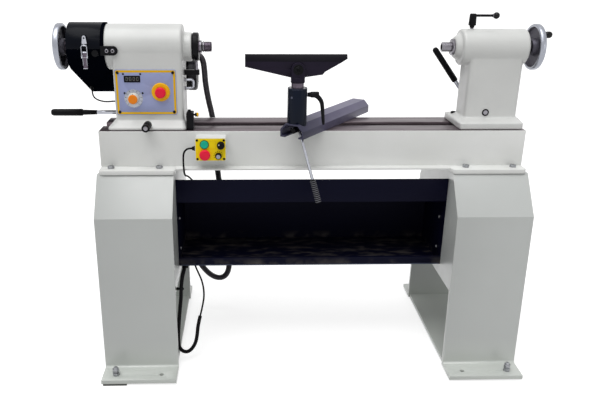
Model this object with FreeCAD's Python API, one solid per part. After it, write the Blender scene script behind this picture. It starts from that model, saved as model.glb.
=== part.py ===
import FreeCAD, Part
import math
import os

# Wood lathe: a cast headstock and tailstock on a two-beam bed, carried by two folded steel legs.
# Frame: origin on the floor under the middle of the bed, +X along the bed towards the tailstock,
# +Y away from the turner, +Z up. All sizes are millimetres.

# --- Bed and legs ---------------------------------------------------------------------------
BED_LENGTH = 1360.0
BED_DEPTH = 200.0
BED_TOP = 786.0            # sliding face of the ways above the floor
SLOT = 50.0                # clear gap between the two ways
WAY_T = 12.0
WAY_SETBACK = 3.0          # painted lip in front of each way
WEB_T = 10.0
FLANGE_T = 10.0
BEAM_H = 115.0             # beam height from mounting plate to sliding face
SKIRT_OUT = 28.0           # outward skirt along the lower edge, between the legs
SKIRT_T = 6.0
TIE_T = 12.0
TIE_H = 46.0
TIE_X = (-560.0, -190.0, 190.0, 560.0)

LEG_INNER_X = 444.7
LEG_W = 241.7
LEG_T = 13.6               # plate of the panels, the feet and the mounting plates
LEG_TOP_Y = 142.0
LEG_KNEE_Y = 230.0
LEG_KNEE_DROP = 117.0      # from the panel's upper edge to its knee
LEG_FOOT_Y = 249.0
FOOT_END_Y = 326.0
LEG_BEND_R = 8.0
SIDE_T = 6.0
SIDE_BOTTOM = 282.0
PLATE_Y = 149.0
PLATE_OVER = 4.7           # the mounting plate reaches this far inside the leg
BOLT_X = (492.0, 645.0)
BOLT_Y = 118.0
M12_R = 6.0
M12_AF = 19.0
FOOT_LIFT = 7.0            # floor to the underside of the feet
FOOT_BOLT_X = 643.0
FOOT_HOLE_X = 495.0
FOOT_HOLE_Y = 296.0
FOOT_HOLE_R = 7.0
PAD_W = 76.0
PAD_D = 60.0

TRAY_T = 2.0
TRAY_FRONT_Y = -110.0
TRAY_BACK_Y = 130.0
TRAY_TOP = 629.0
TRAY_BOTTOM = 322.0
TRAY_APRON = 79.0
TRAY_LIP = 28.0
TRAY_ROOF_DROP = 112.0

# --- Headstock and drive --------------------------------------------------------------------
CENTRE_H = 250.0           # spindle line above the ways
AXIS_Z = BED_TOP + CENTRE_H
HEAD_L = -650.0            # left end of the barrel
HEAD_R = -411.0
BARREL_R = 71.0
CAST_T = 12.0              # walls of the hollow castings
NECK_END_T = 16.0
BARREL_BORE = 40.0
BOSS_R = 45.0
BOSS_END = -384.0
BOSS_BORE = 24.0
NECK_L = -628.0
NECK_R = -411.0
NECK_Y = 70.0
HEAD_BASE_L = -652.0
HEAD_BASE_R = -404.0
HEAD_BASE_Y = 93.0
HEAD_BASE_H = 30.0
FLARE_H = 22.0
BEARING_W = 24.0

SHAFT_R = 20.0
RUN_CLEAR = 0.04
SPINDLE_L = -805.0
NOSE_TIP = -323.0
NOSE_R = 16.5              # M33 thread
NOSE_L = 24.0
NOSE_NECK_R = 14.0
NOSE_FLANGE_R = 20.0
SPINDLE_BORE = 8.0
TAPER_R = 11.9             # Morse taper 3 mouth
TAPER_L = 80.0
MORSE_TAPER = 0.025        # fall of the radius along a taper socket
RING_R = 44.0
RING_L = -383.0
RING_W = 20.0
WHEEL_R = 72.0
WHEEL_W = 19.0
WHEEL_T = 7.0
WHEEL_HUB_R = 26.0

GUARD_L = -763.0
GUARD_R_TOP = 75.0
MOTOR_Y = 231.0
MOTOR_DROP = 123.0         # motor shaft below the spindle line
GUARD_R_MOTOR = 60.0
GUARD_T = 3.0
BACKPLATE_T = 8.0
COVER_GAP = 1.0
PULLEY_R = 52.0
MOTOR_PULLEY_R = 32.0
PULLEY_W = 50.0
BELT_T = 5.0
BELT_W = 36.0
BELT_GAP = 0.5
MOTOR_R = 60.0
MOTOR_LEN = 262.0
MOTOR_SHAFT_R = 9.5
STUB_L = 30.0              # motor shaft inside the motor body
MOTOR_Z = AXIS_Z - MOTOR_DROP
GUARD_RIGHT = HEAD_L
BELT_X = (GUARD_L + HEAD_L) / 2 - 2
LATCH_X = -704.0
LATCH_Y = -GUARD_R_TOP
LATCH_PIVOT_Y = LATCH_Y - 8.0
LATCH_PIVOT_Z = AXIS_Z - 9.0
LATCH_PIN_R = 1.5
LATCH_HALF_W = 6.5
BAIL_PIN_Y = LATCH_PIVOT_Y - 6.2
BAIL_PIN_Z = LATCH_PIVOT_Z - 14.0
BAIL_PIN_R = 1.2
BAIL_HALF_W = 8.6
BAIL_TOP_Z = AXIS_Z + 14.0
BAIL_BAR_R = 1.4
STRAP_HALF = 14.0
STRAP_DROP = 4.0           # strap's middle below the spindle line
STRAP_END_X = HEAD_L + 30.0
KNOB_DX = 23.0             # round screw left of the barrel
HINGE_OUT = 5.5            # hinge line outside the guard's skin
KNUCKLE_R = 5.0
KNUCKLE_W = 23.0
KNUCKLE_GAP = 0.5
HINGE_PIN_R = 2.5
HINGE_X = -710.0
LEAF_L = 16.0
LEAF_T = 2.5

PANEL_W = 189.0
PANEL_H = 141.0
PANEL_X = -527.0
PANEL_Z = 904.0
PANEL_T = 3.0
ESTOP = (-481.0, 905.0)
DIAL = (-567.0, 885.0)
ESTOP_R = 17.0
ESTOP_STEM_R = 9.0
ESTOP_COLLAR_R = 29.0
ESTOP_COLLAR_T = 4.0
ESTOP_TRAVEL = 5.0
KNOB_STEM_R = 4.0
DIAL_R = 29.0
DISPLAY = (-568.0, 946.0, 50.0, 20.0)
STEM_GAP = 0.3
KNOB_R = 19.0
INDEX_X = -524.0
INDEX_Z = 806.0
INDEX_R = 12.5
INDEX_L = 55.0
HEAD_LEVER_X = -600.0
HEAD_LEVER_Z = 802.0
LEVER_Y = 112.0            # plane of the rear clamp levers
SHAFT_CLEAR = 0.1
ECC_R = 8.0
EYE_R = 16.0               # eye of the clamp bolts
EYE_HALF = 10.0
EYE_ROOM = 2.0

BAIL_X = -385.0            # chrome bail on the neck
BAIL_Z = (905.0, 932.0)
BAIL_R = 4.0
PIN_R = 5.0
PIN_BRACKET_TOP = 28.0     # below the ring's edge
PIN_BRACKET_H = 16.0

# --- Clamps under the bed -------------------------------------------------------------------
CLAMP_T = 16.0
CLAMP_HALF_X = 50.0
CLAMP_HALF_Y = 42.0
STUD_R = 8.0
CLAMP_NUT_AF = 24.0
CLAMP_NUT_H = 13.8
HEAD_LEVER_LEN = 282.0
HEAD_GRIP_L = 105.0
HEAD_GRIP_R = 12.0
LEVER_ROD_R = 7.0
LEVER_HUB_R = 14.0

# --- Switch box on the bed ------------------------------------------------------------------
BOX_X = -326.0
BOX_Z = 738.5
BOX_W = 97.0
BOX_H = 74.0
BOX_D = 47.0
FACE_T = 1.5
START = (-345.0, 755.0)
STOP = (-344.0, 723.0)
MODE = (-294.0, 753.0)
TRIM = (-302.0, 719.0)
START_R = 12.0
STOP_STEM_R = 8.0
BUTTON_DEPTH = 12.0
STOP_R = 17.0
MODE_R = 12.5
TRIM_R = 10.5
CASE_SCREW_IN = 7.0        # case corner to its screw

# --- Cords ----------------------------------------------------------------------------------
CABLE_R = 3.0
SLEEVE_R = 6.5
CONDUIT_R = 11.0
INTERLOCK_R = 2.5
CLIP_ROOM = 0.5
CLIP_HALF = 3.5
CLIP_RUN = 14              # the run of the sleeve that its clip holds
ANCHOR_HALF = 10.0
CONDUIT_BOX = 18.0         # half width of the conduit's terminal box on the leg

# --- Banjo and tool rest --------------------------------------------------------------------
BANJO_X = 51.5             # clamp bolt
BANJO_ANGLE = 56.0         # channel against the bed
BANJO_LEN = 480.0
BANJO_FRONT = 231.5        # bolt to the front end of the channel
BANJO_W = 80.0
BANJO_H = 43.0
BANJO_SIDE = 24.0
BANJO_CHAMFER = 18.0
BANJO_T = 5.0
BANJO_LIP = 12.0
SLIDE_GAP = 0.3
CAM_R = 9.0
CAM_Z = 21.0
POST_BACK = 31.0           # post centre behind the channel's front end
POST_R = 29.5
POST_H = 106.0
STEM_R = 19.0
BUSH_R = 24.0
NECK_SHOWN = 15.0
BLADE_L = 303.0
BLADE_TOP = 1032.0
LEVER_AT = 45.0            # clamp lever behind the channel's front end
LEVER_TILT = 18.7
BUSH_H = 24.0
CHEEK_T = 12.0
BLADE_T = 9.0
CHEEK_BACK = -5.0
LEVER_LEN = 241.0
REST_BOLT_R = 5.0
REST_BOLT_DROP = 42.0      # blade's top to its bolt
SHOULDER_H = 16.0          # collar of the stem under the cheek

# --- Tailstock ------------------------------------------------------------------------------
TAIL_L = 467.0
TAIL_R = 678.0
TAIL_BARREL_R = 57.0
TAIL_COL_L = TAIL_L + 33.0
TAIL_COL_R = TAIL_R - 20.0
TAIL_COL_Y = 57.0
TAIL_BASE_L = TAIL_L + 2.0
TAIL_BASE_R = TAIL_R - 4.0
TAIL_BASE_Y = 90.0
TAIL_BASE_H = 30.0
TAIL_END_WALL = 23.0
TAIL_FLARE = 9.0
NOSE_CONE_L = 18.0
RING_FRONT = 8.0
SET_BOLT = (TAIL_L + 18.0, 42.0)
SET_BOLT_AF = 15.0
QUILL_R = 15.0
QUILL_TIP = TAIL_L - 56.0
QUILL_END = TAIL_R - TAIL_END_WALL - 30.0
QUILL_BORE = 9.0           # Morse taper 2 mouth
QUILL_TAPER_L = 64.0
SCREW_R = 8.0
COLLAR_R = 20.0            # thrust collar behind the barrel
SCREW_FROM = 95.0          # quill tip to the feed screw's end
LOCK_X = TAIL_L + 35.0
LOCK_R = 5.0
TAIL_LEVER_X = TAIL_COL_L + 60.0
TAIL_LEVER_Z = 834.0
TAIL_LEVER_ANGLE = 127.0
TAIL_LEVER_LEN = 255.0
TAIL_GRIP_L = 135.0
TAIL_GRIP_R = 9.0
WHEEL2_RIGHT = TAIL_R + 42.0
CRANK_R = 54.0
CRANK_ANGLE = 140.0        # place of the crank knob on its wheel, from the +Y side
CRANK_PIN_R = 4.0

V = FreeCAD.Vector
X_AXIS = V(1, 0, 0)
Y_AXIS = V(0, 1, 0)
Z_AXIS = V(0, 0, 1)


# --- Helpers --------------------------------------------------------------------------------
def box(x0, x1, y0, y1, z0, z1):
    """A block between two corners."""
    return Part.makeBox(x1 - x0, y1 - y0, z1 - z0, V(x0, y0, z0))


def rod(r, start, end):
    """A round bar between two points."""
    a, b = V(*start), V(*end)
    return Part.makeCylinder(r, (b - a).Length, a, b - a)


def cone(r0, r1, start, end):
    """A tapered round bar between two points."""
    a, b = V(*start), V(*end)
    return Part.makeCone(r0, r1, (b - a).Length, a, b - a)


def fuse(first, *others):
    """One solid from touching pieces, without the seams between them."""
    return first.fuse(list(others)).removeSplitter()


def cut(body, *tools):
    return body.cut(list(tools))


def prism(points, along):
    """A closed outline extruded along a vector."""
    corners = [V(*p) for p in points]
    wire = Part.makePolygon(corners + [corners[0]])
    return Part.Face(wire).extrude(along)


def profile_x(points, x0, x1):
    """An outline of (y, z) points extruded from x0 to x1."""
    return prism([(x0, y, z) for y, z in points], V(x1 - x0, 0, 0))


def turned_x(points, y, z):
    """A turned piece about a line along X, from (x, radius) points."""
    corners = [V(x, y, z + r) for x, r in points]
    wire = Part.makePolygon(corners + [corners[0]])
    return Part.Face(wire).revolve(V(0, y, z), X_AXIS, 360)


def hexagon(across, centre, height, up=Z_AXIS):
    """A hexagon head or nut standing on its centre."""
    r = across / math.sqrt(3)
    corners = [V(r * math.cos(math.radians(60 * k)), r * math.sin(math.radians(60 * k)), 0) for k in range(7)]
    solid = Part.Face(Part.makePolygon(corners)).extrude(V(0, 0, height))
    solid.Placement = FreeCAD.Placement(V(*centre), FreeCAD.Rotation(Z_AXIS, up))
    return solid


def rounded(solid, r, keep):
    """Fillets of radius r on the edges whose middle and direction pass the test."""
    picked = []
    for edge in solid.Edges:
        middle = edge.CenterOfMass
        way = edge.tangentAt(edge.FirstParameter)
        if edge.Curve.TypeId == "Part::GeomLine" and keep(middle, way):
            picked.append(edge)
    return solid.makeFillet(r, picked)


def along(way, axis):
    return abs(way.dot(axis)) > 0.999


def mirror_x(shape):
    return shape.mirror(V(0, 0, 0), X_AXIS)


def mirror_y(shape):
    return shape.mirror(V(0, 0, 0), Y_AXIS)


def offset_line(points, t):
    """The open outline moved sideways by t, with mitred corners."""
    moved = []
    for k, (y, z) in enumerate(points):
        normals = []
        for a, b in ((k - 1, k), (k, k + 1)):
            if a < 0 or b >= len(points):
                continue
            dy, dz = points[b][0] - points[a][0], points[b][1] - points[a][1]
            size = math.hypot(dy, dz)
            normals.append((-dz / size, dy / size))
        ny = sum(n[0] for n in normals) / len(normals)
        nz = sum(n[1] for n in normals) / len(normals)
        scale = t / (ny * ny + nz * nz)
        moved.append((y + ny * scale, z + nz * scale))
    return moved


def tube(points, r, name):
    """A cord: straight runs joined by tangent arcs, all with a round section."""
    at = [V(*p) for p in points]
    pieces = []
    radii = []
    length = 0.0
    start = at[0]
    for before, here, after in zip(at, at[1:], at[2:]):
        inward, outward = here - before, after - here
        reach = 0.45 * min(inward.Length, outward.Length)
        inward.normalize()
        outward.normalize()
        turn = inward.getAngle(outward)
        bend_r = reach / math.tan(turn / 2)
        arc_from, arc_to = here - inward * reach, here + outward * reach
        centre = here + (outward - inward).normalize() * (bend_r / math.cos(turn / 2))
        section = Part.Face(Part.Wire(Part.makeCircle(r, arc_from, inward)))
        pieces.append(rod(r, tuple(start), tuple(arc_from)))
        pieces.append(section.revolve(centre, inward.cross(outward), math.degrees(turn)))
        radii.append(round(bend_r, 1))
        length += (arc_from - start).Length + bend_r * turn
        start = arc_to
    pieces.append(rod(r, tuple(start), tuple(at[-1])))
    length += (at[-1] - start).Length
    solid = pieces[0].fuse(pieces[1:])
    ratio = solid.Volume / (math.pi * r * r * length)
    print(name, "length", round(length, 1), "radii", radii, "volume ratio", round(ratio, 4))
    return solid


def save(name, *solids):
    """One STEP per sub-part."""
    flat = []
    for solid in solids:
        flat.extend(solid.Solids)
    shape = flat[0] if len(flat) == 1 else Part.makeCompound(flat)
    shape.exportStep(os.path.join("parts", name + ".step"))


# --- Bed ------------------------------------------------------------------------------------
HALF = BED_DEPTH / 2
PLATE_TOP = BED_TOP - BEAM_H
WAY_BOTTOM = BED_TOP - WAY_T
FLANGE_BOTTOM = WAY_BOTTOM - FLANGE_T


def bed_beam():
    """The front beam: web, top flange under the way, painted lip and lower skirt."""
    x = BED_LENGTH / 2
    span = LEG_INNER_X - PLATE_OVER
    web = box(-x, x, -HALF, -HALF + WEB_T, PLATE_TOP, WAY_BOTTOM)
    flange = box(-x, x, -HALF, -SLOT / 2, FLANGE_BOTTOM, WAY_BOTTOM)
    lip = box(-x, x, -HALF, -HALF + WAY_SETBACK, WAY_BOTTOM, BED_TOP)
    skirt = box(-span, span, -HALF - SKIRT_OUT, -HALF + WEB_T, PLATE_TOP - SKIRT_T, PLATE_TOP)
    return fuse(web, flange, lip, skirt)


def bed_way():
    x = BED_LENGTH / 2
    return box(-x, x, -HALF + WAY_SETBACK, -SLOT / 2, WAY_BOTTOM, BED_TOP)


def cross_tie(x):
    inner = HALF - WEB_T
    return box(x - TIE_T / 2, x + TIE_T / 2, -inner, inner, PLATE_TOP, PLATE_TOP + TIE_H)


def mount_plate():
    """The plate on the right leg that the bed stands on, with its bolt holes."""
    x0 = LEG_INNER_X - PLATE_OVER
    x1 = BED_LENGTH / 2 - 1
    plate = box(x0, x1, -PLATE_Y, PLATE_Y, PLATE_TOP - LEG_T, PLATE_TOP)
    plate = rounded(plate, 12, lambda m, w: along(w, Z_AXIS))
    return cut(plate, *bolt_holes(PLATE_TOP - LEG_T - 1, PLATE_TOP + 1))


def bolt_holes(z0, z1):
    return [rod(M12_R + 0.5, (x, y, z0), (x, y, z1)) for x in BOLT_X for y in (-BOLT_Y, BOLT_Y)]


def frame_bolt(x, y, under):
    """A hexagon bolt through the mounting plate and the leg's top flange, with its nut."""
    shank = rod(M12_R, (x, y, under - 11), (x, y, PLATE_TOP))
    head = hexagon(M12_AF, (x, y, PLATE_TOP), 7.5)
    nut = hexagon(M12_AF, (x, y, under - 10), 10)
    return fuse(shank, head, nut)


# --- Legs -----------------------------------------------------------------------------------
LEG_TOP = PLATE_TOP - LEG_T
FOOT_TOP = FOOT_LIFT + LEG_T
LEG_FLANGE_T = 10.0
LEG_FLANGE_BOTTOM = LEG_TOP - LEG_FLANGE_T


def panel_lines():
    """Outer and inner line of the front panel in section, from the mounting plate to the toe."""
    knee = (-LEG_KNEE_Y, LEG_TOP - LEG_KNEE_DROP)
    outer = [(-LEG_TOP_Y, LEG_TOP), knee, (-LEG_FOOT_Y, FOOT_TOP), (-FOOT_END_Y, FOOT_TOP)]
    inner = offset_line(outer, LEG_T)
    slope = math.hypot(LEG_KNEE_Y - LEG_TOP_Y, LEG_KNEE_DROP) / LEG_KNEE_DROP
    inner[0] = (-LEG_TOP_Y + LEG_T * slope, LEG_TOP)
    inner[-1] = (-FOOT_END_Y, FOOT_LIFT)
    return outer, inner


def leg_panel():
    """The front panel of the right leg: sloping top, upright face and foot, one bent plate."""
    outer, inner = panel_lines()
    panel = profile_x(outer + inner[::-1], LEG_INNER_X, LEG_INNER_X + LEG_W)

    def at_foot(m, w):
        return along(w, X_AXIS) and abs(m.y + LEG_FOOT_Y) < 1 and abs(m.z - FOOT_TOP) < 1

    panel = rounded(panel, LEG_BEND_R, at_foot)
    holes = []
    for x in (FOOT_HOLE_X, FOOT_BOLT_X):
        holes.append(rod(FOOT_HOLE_R, (x, -FOOT_HOLE_Y, FOOT_LIFT - 1), (x, -FOOT_HOLE_Y, FOOT_TOP + 1)))
    return cut(panel, *holes)


def inner_y(z):
    """Inner face of the front panel at a height."""
    line = panel_lines()[1][:3]
    for (y0, z0), (y1, z1) in zip(line, line[1:]):
        if z1 <= z <= z0:
            return y0 + (y1 - y0) * (z0 - z) / (z0 - z1)
    return line[-1][0]


def leg():
    """The right leg, welded: two panels, side plate, top flange and base plate."""
    front = leg_panel()
    rear = mirror_y(front)
    knee_z = LEG_TOP - LEG_KNEE_DROP - 6
    over = 1.0
    edge = [(inner_y(z) - over, z) for z in (LEG_TOP, knee_z, SIDE_BOTTOM)]
    outline = edge + [(-y, z) for y, z in edge[::-1]]
    side = profile_x(outline, LEG_INNER_X, LEG_INNER_X + SIDE_T)
    x1 = LEG_INNER_X + LEG_W
    flange_y = -inner_y(LEG_FLANGE_BOTTOM)
    flange = box(LEG_INNER_X + 1, x1 - 1, -flange_y, flange_y, LEG_FLANGE_BOTTOM, LEG_TOP)
    flange_holes = bolt_holes(LEG_FLANGE_BOTTOM - 1, LEG_TOP + 1)
    base = box(LEG_INNER_X + 5, x1 - 5, -LEG_FOOT_Y, LEG_FOOT_Y, FOOT_LIFT, FOOT_TOP - 1)
    return cut(fuse(front, rear, side, flange, base), *flange_holes)


def levelling_bolt(x, y, floor):
    """A levelling bolt in the foot, with a nut above the plate."""
    stud = rod(M12_R, (x, y, floor), (x, y, FOOT_TOP + 30))
    nut = hexagon(M12_AF, (x, y, FOOT_TOP), 10)
    top_nut = hexagon(M12_AF, (x, y, FOOT_TOP + 14), 10)
    return fuse(stud, nut, top_nut)


def foot_pad():
    x1 = -FOOT_BOLT_X + PAD_W / 2
    return box(x1 - PAD_W, x1, -FOOT_HOLE_Y - PAD_D / 2, -FOOT_HOLE_Y + PAD_D / 2, 0, FOOT_LIFT - 0.5)


def chip_tray():
    """A folded sheet compartment between the legs: apron, sloping roof, back, floor and front lip."""
    x = LEG_INNER_X
    f, b = TRAY_FRONT_Y, TRAY_BACK_Y
    roof_back = TRAY_TOP - TRAY_ROOF_DROP
    t = TRAY_T
    shell = profile_x([(f, TRAY_BOTTOM), (b, TRAY_BOTTOM), (b, roof_back), (f, TRAY_TOP)], -x, x)
    under_roof = TRAY_TOP - 1.5 * t
    inside = [(f - 5, TRAY_BOTTOM + t), (b - t, TRAY_BOTTOM + t), (b - t, roof_back - t), (f + t, under_roof),
              (f - 5, under_roof)]
    hollow = profile_x(inside, -x + t, x - t)
    walls = cut(shell, hollow)
    apron = box(-x, x, f, f + t, TRAY_TOP - TRAY_APRON, TRAY_TOP - t)
    lip = box(-x, x, f, f + t, TRAY_BOTTOM, TRAY_BOTTOM + TRAY_LIP)
    hem = box(-x, x, f, f + 10, TRAY_BOTTOM + TRAY_LIP - t, TRAY_BOTTOM + TRAY_LIP)
    return fuse(walls, apron, lip, hem)


def tray_screw(side, z):
    x = side * (LEG_INNER_X - TRAY_T)
    head = rod(5.5, (x, TRAY_FRONT_Y + 50, z), (x - side * 4, TRAY_FRONT_Y + 50, z))
    return head


def build_frame():
    front = bed_beam()
    save("bed_beams", front, mirror_y(front))
    save("bed_ways", bed_way(), mirror_y(bed_way()))
    save("bed_cross_ties", *[cross_tie(x) for x in TIE_X])
    save("bed_mount_plates", mount_plate(), mirror_x(mount_plate()))
    right = leg()
    save("leg_right", right)
    save("leg_left", mirror_x(right))
    bolts = []
    for side in (-1, 1):
        for x in BOLT_X:
            for y in (-BOLT_Y, BOLT_Y):
                bolts.append(frame_bolt(side * x, y, LEG_FLANGE_BOTTOM))
        for z in (366.0, 477.0):
            bolts.append(tray_screw(side, z))
    save("frame_bolts", *bolts)
    feet = [foot_pad()]
    for side in (-1, 1):
        for y in (-FOOT_HOLE_Y, FOOT_HOLE_Y):
            on_pad = side < 0 and y < 0
            feet.append(levelling_bolt(side * FOOT_BOLT_X, y, FOOT_LIFT - 0.5 if on_pad else 0.0))
    save("levelling_feet", *feet)
    save("chip_tray", chip_tray())


# --- Headstock ------------------------------------------------------------------------------
def flared_base(x0, x1, half_y, neck0, neck1, neck_y, height, flare):
    """A bed foot that flares out from a narrower neck."""
    z0, z1, z2 = BED_TOP, BED_TOP + height - flare, BED_TOP + height
    block = rounded(box(x0, x1, -half_y, half_y, z0, z1), 14, lambda m, w: along(w, Z_AXIS))
    lower = rounded_outline(x0, x1, half_y, 14, z1)
    upper = rounded_outline(neck0, neck1, neck_y, 10, z2)
    return fuse(block, Part.makeLoft([lower, upper], True, True))


def rounded_outline(x0, x1, half_y, r, z):
    """A rectangle with rounded corners, as a wire at a height."""
    quarter = r * (1 - math.sqrt(0.5))
    edges = []
    corners = [(x0, -half_y, 1, 1), (x1, -half_y, -1, 1), (x1, half_y, -1, -1), (x0, half_y, 1, -1)]
    ends = []
    for x, y, sx, sy in corners:
        a, b = V(x, y + sy * r, z), V(x + sx * r, y, z)
        if sx * sy < 0:
            a, b = b, a
        ends.append((a, V(x + sx * quarter, y + sy * quarter, z), b))
    for k, (a, mid, b) in enumerate(ends):
        edges.append(Part.Arc(a, mid, b).toShape())
        following = ends[(k + 1) % 4][0]
        edges.append(Part.LineSegment(b, following).toShape())
    return Part.Wire(edges)


def headstock_casting():
    """Barrel, boss, neck and flared foot, cast in one piece and bored for the spindle."""
    barrel = turned_x([(HEAD_L, 0), (HEAD_L, BARREL_R - 1), (HEAD_L + 1, BARREL_R), (HEAD_R - 5, BARREL_R),
                       (HEAD_R, BARREL_R - 5), (HEAD_R, BOSS_R), (BOSS_END - 2, BOSS_R), (BOSS_END,
                                                                                          BOSS_R - 2),
                       (BOSS_END, 0)], 0, AXIS_Z)
    neck = box(NECK_L, NECK_R - 1, -NECK_Y, NECK_Y, BED_TOP + HEAD_BASE_H - 1, AXIS_Z)
    neck = rounded(neck, 10, lambda m, w: along(w, Z_AXIS))
    foot = flared_base(HEAD_BASE_L, HEAD_BASE_R, HEAD_BASE_Y, NECK_L, NECK_R - 1, NECK_Y, HEAD_BASE_H,
                       FLARE_H)
    body = fuse(barrel, neck, foot)
    bore = rod(BARREL_BORE, (HEAD_L - 1, 0, AXIS_Z), (HEAD_R, 0, AXIS_Z))
    exit_bore = rod(BOSS_BORE, (HEAD_R - 1, 0, AXIS_Z), (BOSS_END + 1, 0, AXIS_Z))
    inside = box(NECK_L + NECK_END_T, NECK_R - NECK_END_T - 1, -NECK_Y + CAST_T, NECK_Y - CAST_T,
                 BED_TOP + HEAD_BASE_H + 4, AXIS_Z - BARREL_R)
    cam = rod(ECC_R + SHAFT_CLEAR, (HEAD_LEVER_X, -HEAD_BASE_Y + 30, HEAD_LEVER_Z),
              (HEAD_LEVER_X, HEAD_BASE_Y + 1, HEAD_LEVER_Z))
    pull = rod(5.1, (INDEX_X, -HEAD_BASE_Y - 1, INDEX_Z), (INDEX_X, -HEAD_BASE_Y + 51, INDEX_Z))
    eye_room = box(HEAD_LEVER_X - EYE_R - EYE_ROOM, HEAD_LEVER_X + EYE_R + EYE_ROOM, -EYE_HALF - EYE_ROOM,
                   EYE_HALF + EYE_ROOM, BED_TOP - 1, BED_TOP + HEAD_BASE_H + 5)
    return cut(body, bore, exit_bore, inside, cam, pull, eye_room)


def bearing(x):
    ring = rod(BARREL_BORE, (x, 0, AXIS_Z), (x + BEARING_W, 0, AXIS_Z))
    return cut(ring, rod(SHAFT_R + RUN_CLEAR, (x - 1, 0, AXIS_Z), (x + BEARING_W + 1, 0, AXIS_Z)))


def spindle():
    """Hollow spindle with its flange, M33 nose and Morse taper socket."""
    flange_l = NOSE_TIP - NOSE_L - 14
    body = turned_x([(SPINDLE_L + 4, 0), (SPINDLE_L + 4, SHAFT_R), (flange_l, SHAFT_R),
                     (flange_l, NOSE_FLANGE_R),
                     (flange_l + 7, NOSE_FLANGE_R), (flange_l + 7, NOSE_NECK_R), (NOSE_TIP - NOSE_L,
                                                                                  NOSE_NECK_R),
                     (NOSE_TIP - NOSE_L, NOSE_R), (NOSE_TIP - 2, NOSE_R), (NOSE_TIP, NOSE_R - 2),
                     (NOSE_TIP, 0)],
                    0, AXIS_Z)
    through = rod(SPINDLE_BORE, (SPINDLE_L, 0, AXIS_Z), (NOSE_TIP + 1, 0, AXIS_Z))
    socket = cone(TAPER_R - TAPER_L * MORSE_TAPER, TAPER_R, (NOSE_TIP - TAPER_L, 0, AXIS_Z),
                  (NOSE_TIP, 0, AXIS_Z))
    return cut(body, through, socket)


def index_ring():
    """Black locking ring on the spindle, in front of the boss."""
    x0, x1 = RING_L, RING_L + RING_W
    ring = turned_x([(x0, SHAFT_R), (x0, RING_R - 3), (x0 + 3, RING_R), (x1 - 3, RING_R), (x1, RING_R - 3),
                     (x1, SHAFT_R)], 0, AXIS_Z)
    return ring


def handwheel(rim_outer, rim_inner, shaft_r):
    """A dished handwheel: its disc lies at rim_outer and its rim reaches to rim_inner."""
    side = 1 if rim_inner > rim_outer else -1
    x0, x1 = rim_outer, rim_inner
    disc = rim_outer + side * WHEEL_T
    hub = rim_outer + side * (WHEEL_W + 4)
    return turned_x([(x0, shaft_r), (x0, WHEEL_R - 3), (x0 + side * 3, WHEEL_R), (x1 - side * 3, WHEEL_R),
                     (x1, WHEEL_R - 3), (x1, WHEEL_R - 9), (disc, WHEEL_R - 14), (disc, WHEEL_HUB_R),
                     (hub, WHEEL_HUB_R - 2), (hub, shaft_r)], 0, AXIS_Z)


# --- Belt drive -----------------------------------------------------------------------------


def belt_outline(r_top, r_motor, x, closed=True):
    """The outline round both shafts: two arcs joined by their outer tangents, as a wire."""
    span = math.hypot(MOTOR_Y, MOTOR_DROP)
    tilt = math.atan2(-MOTOR_DROP, MOTOR_Y)
    lean = math.acos((r_top - r_motor) / span)

    def at(cy, cz, r, angle):
        return V(x, cy + r * math.cos(angle), cz + r * math.sin(angle))

    up, down = tilt + lean, tilt - lean
    top_a, top_m, top_b = (at(0, AXIS_Z, r_top, a) for a in (up, tilt + math.pi, down))
    low_a, low_m, low_b = (at(MOTOR_Y, MOTOR_Z, r_motor, a) for a in (down, tilt, up))
    edges = [Part.Arc(top_a, top_m, top_b).toShape(), Part.LineSegment(top_b, low_a).toShape(),
             Part.Arc(low_a, low_m, low_b).toShape(), Part.LineSegment(low_b, top_a).toShape()]
    return Part.Wire(edges)


def guard_block(inset, x0, x1):
    wire = belt_outline(GUARD_R_TOP - inset, GUARD_R_MOTOR - inset, x0)
    return Part.Face(wire).extrude(V(x1 - x0, 0, 0))


def above(z):
    """All of the guard's room over a height."""
    reach = MOTOR_Y + 4 * GUARD_R_TOP
    return box(GUARD_L - 1, GUARD_RIGHT + 1, -reach, reach, z, z + reach)


def below(z):
    reach = MOTOR_Y + 4 * GUARD_R_TOP
    return box(GUARD_L - 1, GUARD_RIGHT + 1, -reach, reach, z - reach, z)


def belt_housing():
    """The fixed part of the belt guard, welded to the back plate that carries the motor."""
    wall_r = GUARD_RIGHT - BACKPLATE_T
    shell = cut(guard_block(0, GUARD_L, wall_r), guard_block(GUARD_T, GUARD_L + GUARD_T, wall_r + 1))
    shell = shell.common(below(AXIS_Z - COVER_GAP / 2))
    plate = guard_block(0, wall_r, GUARD_RIGHT)
    body = fuse(shell, plate)
    holes = [rod(SHAFT_R + 6, (GUARD_L - 1, 0, AXIS_Z), (GUARD_RIGHT + 1, 0, AXIS_Z)),
             rod(MOTOR_SHAFT_R + 8, (wall_r - 1, MOTOR_Y, MOTOR_Z), (GUARD_RIGHT + 1, MOTOR_Y, MOTOR_Z))]
    return cut(body, *holes)


def belt_cover():
    """The half-round lid over the spindle pulley, hinged at its rear edge, with the latch hook."""
    wall_r = GUARD_RIGHT - BACKPLATE_T - COVER_GAP
    shell = cut(guard_block(0, GUARD_L, wall_r), guard_block(GUARD_T, GUARD_L + GUARD_T, wall_r + 1))
    shell = shell.common(above(AXIS_Z + COVER_GAP / 2))
    hole = rod(SHAFT_R + 6, (GUARD_L - 1, 0, AXIS_Z), (wall_r + 1, 0, AXIS_Z))
    return cut(shell, hole)


def pulley(x, y, z, r, bore):
    """A flat belt pulley with two rims."""
    w = PULLEY_W / 2
    return turned_x([(x - w, bore), (x - w, r + 6), (x - w + 4, r + 6), (x - w + 4, r), (x + w - 4, r),
                     (x + w - 4, r + 6), (x + w, r + 6), (x + w, bore)], y, z)


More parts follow.
